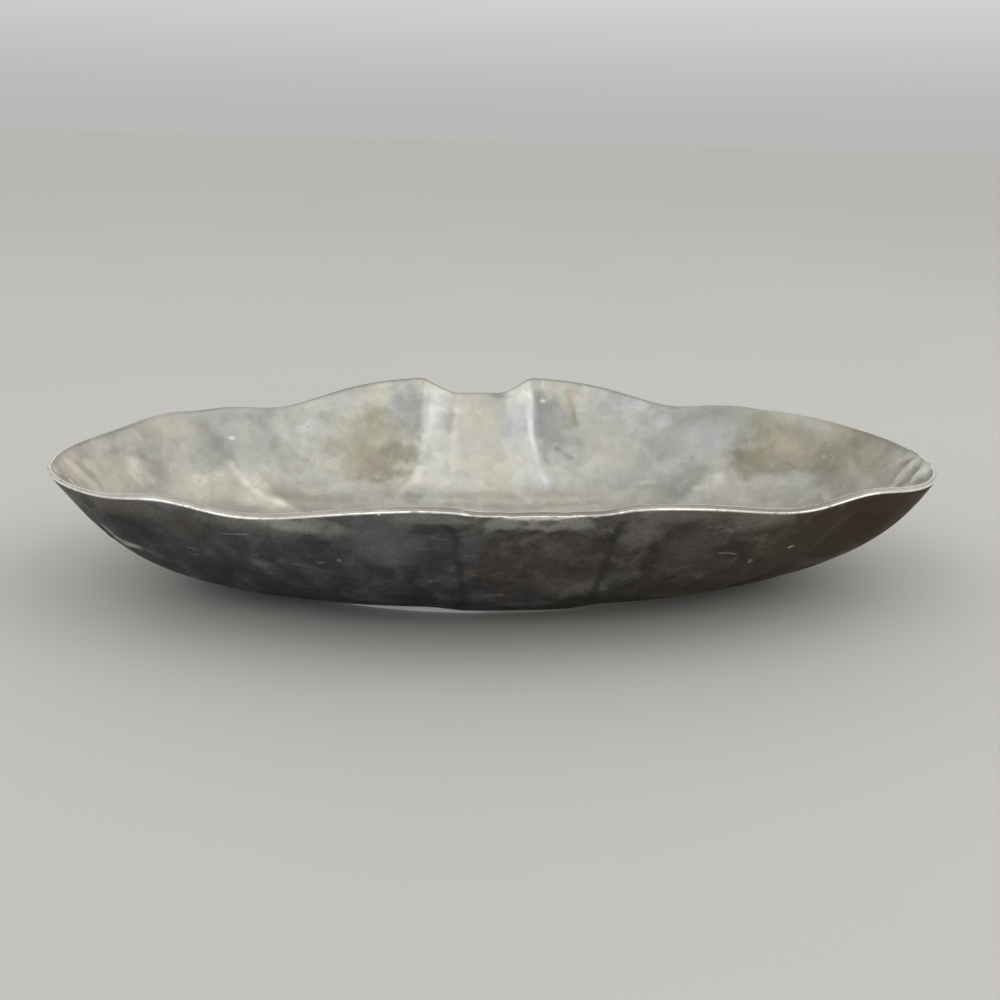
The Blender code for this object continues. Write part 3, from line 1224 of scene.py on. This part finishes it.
@dataclass(frozen=True)
class Studio:
    """A pale floor, soft light and the photograph's point of view."""

    lens: float = 44.49
    sensor: float = 36.0
    nearest: float = 0.01
    place: Place = (-0.0622, -0.4897, 0.1781)
    heading: float = 7.17
    pitch: float = 16.48
    roll: float = 1.51
    floor_size: float = 60.0
    floor_grain: float = 3.0
    floor_roughness: float = 0.7
    floor_colours: tuple[Colour, Colour] = ((0.62, 0.61, 0.59), (0.66, 0.65, 0.63))
    room: Colour = (0.97, 0.97, 0.95)
    dim_room: Colour = (0.50, 0.49, 0.47)
    horizon: Colour = (0.55, 0.55, 0.54)
    room_strength: float = 0.88
    # the heights and the depths, as parts of a direction, between which the room dims
    dim_above: Range = (0.15, 0.95)
    dim_behind: Range = (-0.6, 0.5)
    horizon_top: float = 0.22
    windows: tuple[Window, ...] = (
        Window("left window", (-1.05, -0.75, 1.75), 5.0, (0.98, 0.99, 1.0)),
        Window("right window", (1.20, -0.50, 1.60), 6.0, (1.0, 0.99, 0.96)),
    )

    def turn(self) -> Matrix:
        """How the camera is turned."""
        heading = Matrix.Rotation(radians(-self.heading), 4, "Z")
        tilt = Matrix.Rotation(radians(90.0 - self.pitch), 4, "X")
        return heading @ tilt @ Matrix.Rotation(radians(self.roll), 4, "Z")

    def build_camera(self) -> None:
        """Makes the camera."""
        data = bpy.data.cameras.new("camera")
        data.lens = self.lens
        data.sensor_width = self.sensor
        data.clip_start = self.nearest
        camera = bpy.data.objects.new("camera", data)
        bpy.context.scene.collection.objects.link(camera)
        camera.matrix_world = Matrix.Translation(self.place) @ self.turn()
        bpy.context.scene.camera = camera

    def build_floor(self) -> None:
        """Makes the pale floor."""
        bpy.ops.object.select_all(action="DESELECT")
        bpy.ops.mesh.primitive_plane_add(size=self.floor_size)
        floor = bpy.context.active_object
        floor.name = "floor"
        skin = Skin("pale floor", 0.0)
        colour = skin.paint(skin.noise(self.floor_grain), *self.floor_colours)
        skin.feed(skin.shader["Base Color"], colour)
        skin.feed(skin.shader["Roughness"], self.floor_roughness)
        floor.data.materials.append(skin.material)

    def build_world(self) -> None:
        """Makes a pale room, dimmer above and behind than in front."""
        world = bpy.data.worlds.new("pale room")
        world.use_nodes = True
        graph = Graph(world.node_tree)
        way = graph.add("SeparateXYZ", {0: graph.add("TexCoord", {}).outputs["Generated"]}).outputs
        dim = graph.times(graph.step(way[2], *self.dim_above), graph.step(way[1], *self.dim_behind))
        room = graph.paint(dim, self.room, self.dim_room)
        colour = graph.paint(graph.step(way[2], 0.0, self.horizon_top), self.horizon, room)
        background = world.node_tree.nodes["Background"].inputs
        graph.feed(background["Color"], colour)
        graph.feed(background["Strength"], self.room_strength)
        bpy.context.scene.world = world

    def build(self) -> None:
        """Makes the whole room."""
        self.build_camera()
        self.build_floor()
        self.build_world()
        for window in self.windows:
            window.build()
        bpy.context.scene.view_settings.view_transform = "Standard"


# What the photograph's pixels stand for


class Sight:
    """The photograph's view of the plain shell, which finds the place that a pixel shows.

    Folds and marks are picked in the photograph, which is 1000 pixels wide and high.
    """

    half_picture = 500.0
    search = 12
    around = ((0, 1), (0, -1), (1, 0), (-1, 0), (1, 1), (-1, 1), (1, -1), (-1, -1))
    # a pixel stands for no more metal than this, however steeply it is seen
    longest_step = 0.0012
    widest_step = 0.0008
    # the smallest reach and width of a mark, and the smallest side that a stain's form is worked out with
    least_reach = 0.0008
    least_width = 0.0003
    least_side = 0.0006
    # how much further a mark reaches than it shows
    overreach = 1.28

    def __init__(self, studio: Studio) -> None:
        """Makes a shell without folds, notes its surface and takes it away again."""
        blank = bpy.data.materials.new("blank")
        shell = Dish(unevenness=0.0).shape({face: [blank] for face in ShellFace})
        bpy.context.view_layer.update()
        self.surface = BVHTree.FromObject(shell, bpy.context.evaluated_depsgraph_get())
        self.eye = Vector(studio.place)
        self.turn = studio.turn().to_3x3()
        self.half_field = 0.5 * studio.sensor / studio.lens
        mesh = shell.data
        bpy.data.objects.remove(shell)
        bpy.data.meshes.remove(mesh)
        bpy.data.materials.remove(blank)

    def way(self, column: float, row: float) -> Vector:
        """The direction from the camera through a pixel."""
        across = column / self.half_picture - 1.0
        up = 1.0 - row / self.half_picture
        return (self.turn @ Vector((across * self.half_field, up * self.half_field, -1.0))).normalized()

    def find(self, column: float, row: float) -> tuple[Vector, Vector]:
        """The place that a pixel, or the closest pixel with metal in it, shows, and the normal there."""
        for reach in range(self.search):
            for across, down in self.around:
                way = self.way(column + across * reach, row + down * reach)
                place, normal, _, _ = self.surface.ray_cast(self.eye, way)
                if place is not None:
                    return place, normal
        raise ValueError((column, row))

    def step(self, column: float, row: float, across: float, down: float) -> Vector:
        """The shift on the shell that goes with a shift in the photograph."""
        place, normal = self.find(column, row)
        way = self.way(column + across, row + down)
        return self.eye + way * ((place - self.eye).dot(normal) / way.dot(normal)) - place

    def trace(self, pixels: list[Pixel]) -> tuple[Place, ...]:
        """The places that some pixels show."""
        return tuple(tuple(self.find(*pixel)[0]) for pixel in pixels)

    def spot(self, column: float, row: float, width: float, height: float, *look: object) -> Patch:
        """A patch of colour that covers so many pixels about one.

        Args:
            column: the pixel's column.
            row: its row.
            width: how many pixels the stain is wide.
            height: how many pixels it is high.
            look: the patch's colour and whatever else differs from the usual.

        Returns:
            The patch.
        """
        place, _ = self.find(column, row)
        across = self.step(column, row, 1.0, 0.0)
        up = self.step(column, row, 0.0, -1.0)
        across *= 0.5 * width * min(1.0, self.longest_step / across.length)
        up *= 0.5 * height * min(1.0, self.longest_step / up.length)
        base = [max(hypot(side, rise), self.least_side) for side, rise in zip(across, up)]
        far = max(hypot(*(shift / share for shift, share in zip(edge, base))) for edge in (across, up))
        reach = tuple(max(share * far * self.overreach, self.least_reach) for share in base)
        return Patch(tuple(place), reach, *look)

    def line(self, pixels: list[Pixel], width: float, *look: object) -> Streak:
        """A streak along some pixels.

        Args:
            pixels: the pixels.
            width: how many pixels the streak is wide.
            look: the streak's colour and whatever else differs from the usual.

        Returns:
            The streak.
        """
        middle = pixels[len(pixels) // 2]
        step = min(self.step(*middle, 1.0, 0.0).length, self.widest_step)
        return Streak(self.trace(pixels), max(width * step, self.least_width), *look)

    def fold(self, pixels: list[Pixel], *shape: object) -> Fold:
        """A fold along some pixels, with its height, its width and whatever else differs from the usual."""
        return Fold(self.trace(pixels), *shape)


# How the shell is worked, and where its marks are, by the photograph's pixels

BENDS = (
    Bend(-0.130, 0.010, -0.0018, 1.0),
    Bend(-0.150, 0.010, 0.0008, 1.0),
    Bend(-0.106, 0.012, 0.0010, 1.0),
    Bend(0.107, 0.013, 0.0020, 1.0),
    Bend(0.132, 0.007, -0.0009, 1.0),
    Bend(0.158, 0.014, 0.0015, 1.0),
    Bend(-0.023, 0.011, -0.0009, -1.0),
    Bend(0.021, 0.011, -0.0009, -1.0),
    Bend(0.180, 0.010, 0.0012),
    Bend(-0.181, 0.009, 0.0008),
)


def folds(sight: Sight) -> tuple[Fold, ...]:
    """The folds of the shell."""
    fold = sight.fold
    return (
        # the ridges at the two sides of the panel
        fold(
            [(531, 391), (530, 416), (530, 436), (533, 452), (539, 468), (549, 488)],
            0.0010,
            0.0052,
            (1.0, 0.0, 0.0),
            1.6,
        ),
        fold([(433, 388), (434, 416), (432, 440), (428, 458), (425, 470)], 0.0008, 0.0064),
        # the pinched right end, the grooves between its ridges, and the hook over them
        fold([(893, 486), (907, 471), (919, 461)], 0.0014, 0.0020),
        fold([(900, 486), (913, 474), (922, 464)], -0.0009, 0.0018),
        fold([(908, 486), (920, 475), (931, 468)], 0.0013, 0.0020),
        fold([(902, 461), (910, 458), (918, 458)], 0.0007, 0.0016),
        # the left end, inside and outside
        fold([(66, 461), (78, 472), (90, 482), (103, 490)], 0.0011, 0.0020),
        fold([(52, 470), (60, 475), (68, 480)], 0.0011, 0.0015),
        fold([(56, 466), (66, 472), (77, 481)], -0.0006, 0.0014),
        fold([(132, 452), (142, 467), (154, 484)], 0.0005, 0.0030),
        fold([(102, 526), (111, 535), (121, 541), (137, 547)], -0.0007, 0.0016),
        # the flow line down the left lobe
        fold([(230, 463), (238, 477), (250, 488), (266, 498), (290, 507)], 0.0008, 0.0030),
    )


CREAM = (0.57, 0.555, 0.475)
PALE = (0.68, 0.665, 0.575)
BRIGHT = (0.80, 0.81, 0.80)
WHITE = (0.95, 0.95, 0.94)
HAZE = (0.43, 0.44, 0.455)
STEEL = (0.325, 0.33, 0.335)
OLIVE = (0.34, 0.33, 0.245)
MOSS = (0.24, 0.23, 0.18)
BROWN = (0.30, 0.272, 0.21)
TAN = (0.44, 0.39, 0.33)
RUST = (0.52, 0.33, 0.24)
DARK_GREY = (0.20, 0.20, 0.20)


def inside_marks(sight: Sight) -> tuple[Mark, ...]:
    """The marks on the inside, each over the ones before it."""
    spot, line = sight.spot, sight.line
    return (
        # broad tones: painted shade on the left lobe, the bluish lobes with painted shade on the right one,
        # painted light on the panel, at the left end and along the foot of the wall, and the brown right end
        spot(215, 438, 136, 50, (0.365, 0.355, 0.315), 0.62),
        spot(160, 431, 76, 32, (0.36, 0.34, 0.295), 0.6),
        spot(252, 432, 60, 40, (0.375, 0.37, 0.35), 0.5),
        spot(205, 489, 130, 18, (0.66, 0.65, 0.56), 0.4),
        spot(105, 466, 84, 44, (0.62, 0.60, 0.51), 0.55),
        spot(100, 484, 84, 18, (0.70, 0.68, 0.58), 0.55),
        spot(300, 420, 84, 42, (0.43, 0.428, 0.405), 0.6),
        spot(480, 440, 78, 84, (0.59, 0.585, 0.53), 0.5),
        spot(694, 436, 124, 64, (0.365, 0.368, 0.355), 0.75),
        spot(716, 428, 46, 36, (0.36, 0.365, 0.365), 0.5),
        spot(612, 426, 56, 50, (0.50, 0.50, 0.47), 0.35),
        spot(612, 454, 60, 34, CREAM, 0.35),
        spot(572, 484, 56, 26, (0.52, 0.515, 0.475), 0.35),
        spot(856, 450, 96, 48, (0.43, 0.395, 0.32), 0.55),
        spot(880, 478, 90, 24, (0.60, 0.585, 0.50), 0.5),
        spot(330, 498, 150, 12, PALE, 0.35),
        spot(620, 498, 180, 16, PALE, 0.45),
        spot(568, 486, 56, 18, (0.64, 0.635, 0.58), 0.6),
        spot(770, 493, 130, 22, (0.68, 0.665, 0.57), 0.5),
        # the panel and its two ridges: painted light on the panel, painted highlights down both ridges and
        # painted shade in the hollows outside them
        spot(449, 420, 18, 26, (0.42, 0.425, 0.42), 0.55),
        spot(477, 420, 34, 28, (0.63, 0.615, 0.53), 0.6, 1.2),
        spot(488, 458, 40, 50, (0.60, 0.59, 0.515), 0.5, 1.2),
        spot(442, 400, 16, 14, STEEL, 0.4),
        spot(502, 395, 18, 8, STEEL, 0.75),
        line([(452, 391), (480, 393), (510, 391)], 5, (0.42, 0.42, 0.405), 0.5, 0.2),
        # painted shade left of the left ridge, then painted highlights down the ridge and at its foot
        spot(406, 414, 34, 64, (0.36, 0.37, 0.385), 0.75),
        line([(432, 392), (433, 414), (432, 440), (428, 464)], 17, (0.68, 0.695, 0.71), 0.6, 0.3),
        line([(433, 398), (433, 420)], 8, BRIGHT, 0.35),
        spot(424, 464, 34, 38, (0.69, 0.69, 0.635), 0.6, 1.2),
        spot(404, 480, 36, 12, PALE, 0.45),
        # painted light left of the right ridge and painted shade right of it, then painted highlights down
        # the ridge
        spot(515, 424, 24, 56, (0.54, 0.56, 0.585), 0.6),
        spot(534, 478, 30, 28, (0.60, 0.61, 0.62), 0.6),
        spot(548, 424, 30, 62, (0.30, 0.305, 0.31), 0.75),
        spot(556, 448, 38, 34, (0.35, 0.355, 0.355), 0.5),
        line([(539, 394), (538, 420), (539, 440), (544, 460)], 11, (0.27, 0.275, 0.28), 0.65),
        line(
            [(527, 394), (527, 416), (527, 437), (531, 452), (537, 468), (545, 484)],
            12,
            (0.66, 0.68, 0.70),
            0.55,
        ),
        line([(530, 394), (530, 416), (530, 437)], 5, (0.82, 0.83, 0.84), 0.6, 0.4),
        line([(531, 440), (534, 454), (540, 470), (548, 487)], 4.5, (0.82, 0.83, 0.84), 0.6, 0.4),
        # the right side of the middle
        spot(543, 401, 5, 5, WHITE, 0.7, 0.6, 1.0),
        line([(568, 393), (572, 410), (575, 428)], 8, OLIVE, 0.6, 0.4, 1.2),
        line([(573, 408), (575, 426)], 4, MOSS, 0.45, 0.6, 1.0),
        spot(573, 395, 6, 9, RUST, 0.4, 1.2, 1.0),
        line([(554, 447), (563, 452), (574, 460)], 4, DARK_GREY, 0.45, 1.0),
        spot(577, 440, 12, 26, STEEL, 0.35, 1.2),
        spot(622, 402, 44, 14, (0.44, 0.45, 0.465), 0.5),
        spot(642, 404, 22, 12, (0.54, 0.56, 0.58), 0.4),
        spot(662, 422, 18, 14, (0.52, 0.54, 0.57), 0.4),
        spot(686, 446, 24, 16, STEEL, 0.45, 1.4),
        spot(708, 442, 14, 20, STEEL, 0.35, 1.4),
        spot(697, 466, 26, 10, (0.36, 0.36, 0.355), 0.45, 1.4),
        spot(715, 477, 16, 7, (0.76, 0.75, 0.67), 0.45, 2.2, 1.0),
        spot(648, 482, 14, 6, PALE, 0.45, 1.4),
        line([(727, 458), (730, 484)], 6, (0.36, 0.36, 0.35), 0.4, 0.6, 1.0),
        # the brown arch, and the brown patches between it and the right end
        spot(766, 420, 50, 18, (0.36, 0.355, 0.275), 0.65),
        spot(793, 423, 24, 12, (0.42, 0.39, 0.32), 0.5),
        spot(790, 450, 92, 44, (0.30, 0.275, 0.21), 0.9, 0.7, 0.6),
        spot(762, 440, 30, 16, (0.30, 0.285, 0.215), 0.6, 1.0, 0.7),
        spot(752, 463, 36, 34, (0.25, 0.235, 0.172), 0.8, 0.9, 0.6),
        spot(804, 452, 44, 28, (0.33, 0.305, 0.24), 0.65, 1.2),
        spot(830, 460, 34, 30, (0.325, 0.30, 0.235), 0.6, 1.2, 0.4),
        spot(797, 484, 44, 20, (0.56, 0.565, 0.50), 0.6, 1.2, 0.4),
        spot(866, 446, 56, 24, (0.36, 0.33, 0.265), 0.5, 1.4),
        spot(855, 445, 8, 10, MOSS, 0.35, 1.5, 1.0),
        spot(856, 457, 9, 12, MOSS, 0.35, 1.5, 1.0),
        spot(872, 468, 28, 12, (0.38, 0.35, 0.285), 0.4, 1.4),
        spot(824, 457, 6, 6, PALE, 0.45, 1.4, 1.0),
        spot(891, 467, 5, 4, BRIGHT, 0.6, 1.2, 1.0),
        spot(878, 474, 4, 4, BRIGHT, 0.55, 1.2, 1.0),
        spot(776, 505, 22, 6, PALE, 0.5, 1.4),
        spot(744, 501, 24, 6, PALE, 0.4, 1.4),
        spot(828, 499, 14, 8, PALE, 0.5, 1.4),
        # the folds at the right end: painted highlights on their ridges and on the hook, and painted shade in
        # the groove between them
        line([(893, 486), (907, 471), (919, 461)], 4.5, BRIGHT, 0.75),
        line([(900, 486), (913, 474), (922, 464)], 3.6, (0.30, 0.28, 0.225), 0.75),
        line([(908, 486), (920, 475), (931, 468)], 5.5, BRIGHT, 0.8),
        spot(927, 471, 16, 18, (0.86, 0.85, 0.79), 0.6),
        line([(902, 461), (910, 457), (921, 457), (932, 463)], 4, (0.74, 0.73, 0.67), 0.7),
        line([(903, 465), (914, 462)], 3, BROWN, 0.6, 0.6),
        # the olive and brown stain left of the panel
        spot(376, 446, 68, 78, (0.355, 0.34, 0.255), 0.65, 1.2),
        spot(370, 462, 48, 38, (0.34, 0.315, 0.24), 0.5, 1.4),
        spot(374, 422, 20, 38, (0.35, 0.34, 0.25), 0.55, 1.2),
        spot(396, 452, 30, 24, (0.26, 0.252, 0.19), 0.6, 1.2, 0.8),
        spot(346, 468, 50, 22, (0.42, 0.405, 0.335), 0.5, 1.2),
        spot(374, 464, 26, 26, (0.35, 0.315, 0.25), 0.6, 1.2),
        spot(373, 480, 12, 8, MOSS, 0.5, 1.2),
        line([(332, 470), (350, 474), (370, 477)], 9, (0.36, 0.345, 0.27), 0.5, 0.4, 1.0),
        spot(354, 487, 44, 10, PALE, 0.45),
        # lines where the wall meets the floor: darker bands of dirt and painted shade along the bend, and a
        # painted light band between them
        line(
            [(378, 494), (430, 496), (474, 494), (520, 495.5), (596, 494)],
            7.5,
            (0.45, 0.435, 0.35),
            0.45,
            0.5,
            1.3,
        ),
        line([(440, 504), (480, 506), (540, 506.5), (600, 503)], 6.5, (0.40, 0.385, 0.31), 0.5, 0.5, 1.3),
        line([(384, 500), (440, 501), (540, 500.5), (596, 499)], 5, (0.66, 0.65, 0.56), 0.4, 0.5, 1.3),
        line([(262, 490), (290, 496), (350, 498)], 9, (0.42, 0.41, 0.335), 0.6, 0.2, 1.0),
        spot(412, 498, 14, 12, MOSS, 0.3, 1.6),
        # the left lobe: a painted glint on a dent with painted shade round it, painted shade in the dimples
        # beside it, and a painted highlight along the flow line's fold
        spot(222, 440, 36, 32, (0.34, 0.345, 0.345), 0.5, 1.2),
        spot(215, 444, 14, 18, (0.30, 0.295, 0.275), 0.45, 1.4),
        spot(220, 431, 12, 10, HAZE, 0.5, 1.4),
        # a painted glint on a dent, with painted shade round it and in the dimples beside it
        spot(232, 438, 7, 5, (0.85, 0.85, 0.84), 0.6, 1.2, 1.0),
        spot(231, 446, 10, 7, DARK_GREY, 0.35, 1.4, 1.0),
        spot(275, 443, 9, 16, (0.27, 0.27, 0.27), 0.5, 1.5, 1.0),
        line([(246, 416), (256, 421), (264, 427)], 5, (0.27, 0.27, 0.265), 0.5, 0.6, 1.0),
        spot(194, 430, 12, 9, (0.34, 0.32, 0.29), 0.4, 1.4),
        spot(171, 429, 34, 22, (0.43, 0.39, 0.345), 0.45),
        spot(150, 424, 60, 18, (0.42, 0.40, 0.35), 0.5),
        spot(316, 428, 22, 18, (0.56, 0.57, 0.56), 0.4, 1.2),
        spot(298, 446, 30, 22, (0.52, 0.515, 0.46), 0.4, 1.2),
        # a painted highlight along the flow line's fold
        line(
            [(230, 463), (238, 477), (250, 488), (264, 498), (290, 506)],
            6.5,
            (0.74, 0.72, 0.63),
            0.65,
            0.5,
            0.3,
        ),
        spot(201, 481, 20, 11, (0.72, 0.705, 0.62), 0.5, 1.4),
        spot(248, 503, 12, 8, PALE, 0.5, 1.4),
        spot(172, 470, 30, 16, (0.54, 0.53, 0.47), 0.35, 1.4),
        # the left end: painted highlights along the ridges of its folds and painted shade in the grooves
        # beside them
        spot(94, 448, 18, 16, (0.66, 0.655, 0.60), 0.45, 1.2),
        spot(128, 436, 24, 10, (0.56, 0.555, 0.50), 0.4, 1.2),
        spot(128, 450, 8, 6, PALE, 0.55, 1.2, 1.0),
        spot(115, 452, 12, 8, STEEL, 0.4, 1.4),
        spot(129, 466, 14, 20, (0.66, 0.65, 0.58), 0.4, 1.4),
        spot(142, 452, 26, 8, STEEL, 0.35, 1.4),
        line([(134, 455), (142, 467), (154, 484)], 6, PALE, 0.35, 0.5, 0.8),
        spot(78, 460, 13, 14, (0.40, 0.34, 0.29), 0.45, 1.2),
        spot(64, 475, 34, 20, (0.70, 0.61, 0.54), 0.7, 0.4),
        spot(58, 466, 20, 14, (0.60, 0.57, 0.52), 0.5, 0.5),
        # painted highlights along the fold ridges, painted shade in the grooves beside them
        line([(66, 461), (78, 472), (90, 482), (103, 490)], 4.5, (0.80, 0.785, 0.71), 0.7, 0.3, 0.2),
        line([(73, 459), (86, 470), (96, 479)], 5, (0.36, 0.32, 0.27), 0.55, 0.5, 0.4),
        line([(53, 470), (61, 475), (69, 480)], 3.5, (0.90, 0.84, 0.77), 0.8, 0.3, 0.2),
        line([(57, 469), (67, 475), (76, 482)], 2.5, (0.36, 0.30, 0.26), 0.6, 0.6, 0.1),
    )


NIGHT = (0.058, 0.056, 0.058)
INK = (0.084, 0.085, 0.091)
SLATE = (0.19, 0.195, 0.205)
UMBER = (0.060, 0.044, 0.029)
SCORE = (0.62, 0.61, 0.57)


def outside_marks(sight: Sight) -> tuple[Mark, ...]:
    """The marks on the outside, each over the ones before it."""
    spot, line = sight.spot, sight.line
    return (
        # the middle, between its two creases: painted shade along the creases, and brown low down as a
        # painted reflection of the table
        spot(530, 562, 120, 66, (0.118, 0.102, 0.088), 0.35),
        spot(436, 552, 36, 60, INK, 0.6),
        spot(386, 543, 60, 46, (0.23, 0.233, 0.24), 0.55),
        spot(345, 566, 50, 40, INK, 0.3),
        spot(350, 540, 28, 24, (0.17, 0.17, 0.172), 0.45, 1.4),
        line([(406, 538), (414, 529), (432, 523), (448, 527)], 10, INK, 0.35, 0.6, 1.6),
        line(
            [(446, 526), (454, 532), (458, 543), (458, 560), (461, 582), (466, 602)],
            7,
            (0.046, 0.045, 0.047),
            0.65,
            0.0,
            1.4,
        ),
        spot(470, 546, 20, 34, SLATE, 0.5, 1.2),
        line(
            [(624, 522), (615, 536), (610, 550), (605, 568), (597, 584), (589, 600)],
            7.5,
            (0.044, 0.042, 0.043),
            0.72,
            0.0,
            1.5,
        ),
        spot(597, 560, 26, 50, (0.092, 0.082, 0.073), 0.4, 1.4),
        spot(637, 536, 26, 28, (0.27, 0.262, 0.235), 0.6, 1.2),
        spot(668, 548, 20, 48, NIGHT, 0.45, 1.2),
        spot(694, 546, 36, 40, (0.16, 0.152, 0.135), 0.5, 1.2),
        spot(728, 582, 44, 14, (0.15, 0.152, 0.158), 0.4),
        spot(690, 588, 44, 16, UMBER, 0.6),
        line([(652, 580), (682, 569)], 8, (0.18, 0.172, 0.15), 0.35, 0.5, 1.2),
        # the light band under the rim: partly rubbed metal and partly a painted reflection, with a painted
        # highlight along its top at the front
        spot(534, 522, 134, 17, (0.45, 0.44, 0.405), 0.7, 1.4),
        # a painted highlight along the top of the band at the front
        line(
            [(478, 514), (505, 517), (532, 519), (560, 518), (598, 515)],
            4.5,
            (0.92, 0.91, 0.86),
            0.9,
            0.3,
            1.6,
        ),
        spot(500, 519, 26, 9, (0.42, 0.42, 0.405), 0.5, 1.6),
        spot(524, 524, 9, 5, NIGHT, 0.5, 1.8),
        spot(548, 523, 14, 6, INK, 0.5, 1.6),
        spot(583, 519, 26, 9, (0.36, 0.36, 0.35), 0.55, 1.6),
        spot(283, 523, 50, 12, (0.56, 0.56, 0.54), 0.6, 1.2),
        spot(316, 526, 50, 13, (0.40, 0.395, 0.37), 0.65, 1.2),
        spot(240, 522, 44, 8, (0.30, 0.295, 0.27), 0.45, 1.2),
        spot(430, 519, 96, 10, (0.33, 0.325, 0.295), 0.6, 1.4),
        spot(677, 517, 70, 11, (0.25, 0.243, 0.215), 0.5, 1.2),
        spot(759, 520, 60, 12, (0.27, 0.262, 0.235), 0.55, 1.2),
        # the right end, darker and browner as a painted reflection of the brown table
        spot(884, 510, 136, 62, (0.056, 0.041, 0.027), 0.9),
        spot(806, 545, 74, 50, (0.076, 0.060, 0.045), 0.7),
        spot(770, 570, 70, 24, (0.082, 0.070, 0.058), 0.5),
        line([(850, 514), (826, 534), (806, 554), (792, 570)], 5, (0.15, 0.13, 0.105), 0.4, 0.6, 0.8),
        # the left end, with a painted highlight along its fold
        spot(240, 577, 130, 30, NIGHT, 0.4),
        spot(266, 542, 80, 24, (0.098, 0.098, 0.106), 0.5),
        spot(131, 527, 44, 34, NIGHT, 0.7, 0.6),
        spot(180, 520, 44, 20, (0.15, 0.136, 0.116), 0.45, 1.2),
        spot(113, 503, 50, 8, (0.20, 0.185, 0.165), 0.5, 1.2),
        spot(205, 540, 60, 30, (0.15, 0.142, 0.135), 0.35, 1.4),
        # a painted highlight along the fold
        line([(105, 527), (114, 535), (125, 542), (139, 547)], 3.5, (0.60, 0.58, 0.53), 0.9, 0.2),
        line([(236, 572), (252, 584), (266, 590)], 3, SLATE, 0.4, 0.6),
        line([(330, 522), (320, 538), (314, 556)], 7, INK, 0.4, 0.5, 1.0),
        # scratches, chips and drips
        spot(378.5, 514, 4, 7, WHITE, 0.9, 0.6, 0.8),
        line([(220, 533), (234, 534), (248, 534)], 1.1, SCORE, 0.6, 0.6, 0.8),
        line([(318, 563), (324, 562.5)], 1.1, SCORE, 0.6, 0.4, 0.8),
        line([(718, 553), (728, 553), (737, 554)], 1.1, SCORE, 0.6, 0.7, 0.8),
        line([(788, 547), (793, 545.5)], 1.5, (0.80, 0.76, 0.70), 0.8, 0.4, 0.8),
        line([(469, 568), (480, 571)], 1.1, (0.5, 0.42, 0.38), 0.6, 0.5, 0.8),
        line([(468, 573), (477, 575)], 1.1, (0.5, 0.42, 0.38), 0.5, 0.5, 0.8),
        spot(430, 581, 4, 3, TAN, 0.7, 0.6, 0.9),
        spot(500, 595, 6, 3, (0.40, 0.27, 0.20), 0.6, 0.6, 0.9),
        spot(339, 560, 4, 3, (0.5, 0.5, 0.48), 0.6, 0.6, 0.9),
        spot(750, 561, 4, 4, (0.5, 0.47, 0.43), 0.6, 0.6, 0.9),
    )

FRONT_RIM = Patch((0.045, -0.100, 0.055), (0.130, 0.05, 0.03), (0.36, 0.35, 0.30), 1.0, 0.2, 0.4)
BACK_RIM = Patch((0.0, 0.115, 0.055), (0.30, 0.105, 0.06), (0.37, 0.36, 0.32), 0.95, 0.2, 0.5)
# painted light on the front left of the foot ring, which stands in the platter's shadow, and painted shade on
# its front right
FOOT_PAINTED_LIGHT = Patch((-0.045, -0.043, 0.002), (0.042, 0.02, 0.01), (1.0, 1.0, 1.0), 1.0, 0.3, 0.4)
FOOT_PAINTED_SHADE = Patch((0.055, -0.040, 0.002), (0.050, 0.02, 0.01), (0.15, 0.145, 0.13), 0.8, 0.2, 0.5)

FILED_RIM = BareMetal("filed rim", 0.9, 0.40, (FRONT_RIM, BACK_RIM), (0.68, 0.67, 0.60), (0.52, 0.51, 0.45))
WORN_EDGE = BareMetal(
    "worn rim edge", 1.0, 0.28, (BACK_RIM,), (0.92, 0.91, 0.86), (0.46, 0.45, 0.41), 0.4, 260.0
)
FOOT_PAINTED_LIGHT_AND_SHADE = (FOOT_PAINTED_LIGHT, FOOT_PAINTED_SHADE)
FOOT_PEWTER = BareMetal(
    "foot pewter with painted light and shade", 0.0, 0.45, FOOT_PAINTED_LIGHT_AND_SHADE, (0.46, 0.49, 0.46), (0.34, 0.36, 0.34), 0.4, 30.0
)
SOLDER = BareMetal("dull solder", 0.8, 0.5, (), (0.33, 0.33, 0.32), (0.2, 0.2, 0.19))


def main() -> None:
    """Builds the platter's pieces and the room."""
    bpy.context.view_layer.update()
    effects = Effects()
    studio = Studio()
    sight = Sight(studio)
    finishes = {
        ShellFace.OUTSIDE: zoned(PatinaAndReflection, outside_marks(sight), effects),
        ShellFace.INSIDE: zoned(InsidePewter, inside_marks(sight), effects),
        ShellFace.RIM: [FILED_RIM.make(effects)],
        ShellFace.EDGE: [WORN_EDGE.make(effects)],
    }
    foot = Foot()
    pieces = [
        Dish(folds=folds(sight), bends=BENDS).build(finishes),
        foot.build_ring(FOOT_PEWTER.make(effects)),
        foot.build_solder(SOLDER.make(effects)),
    ]
    for piece in pieces:
        LOG.info("%s has %d faces", piece.name, len(piece.data.polygons))
    studio.build()


if __name__ == "__main__":
    logging.basicConfig(level=logging.INFO, format="%(message)s")
    main()
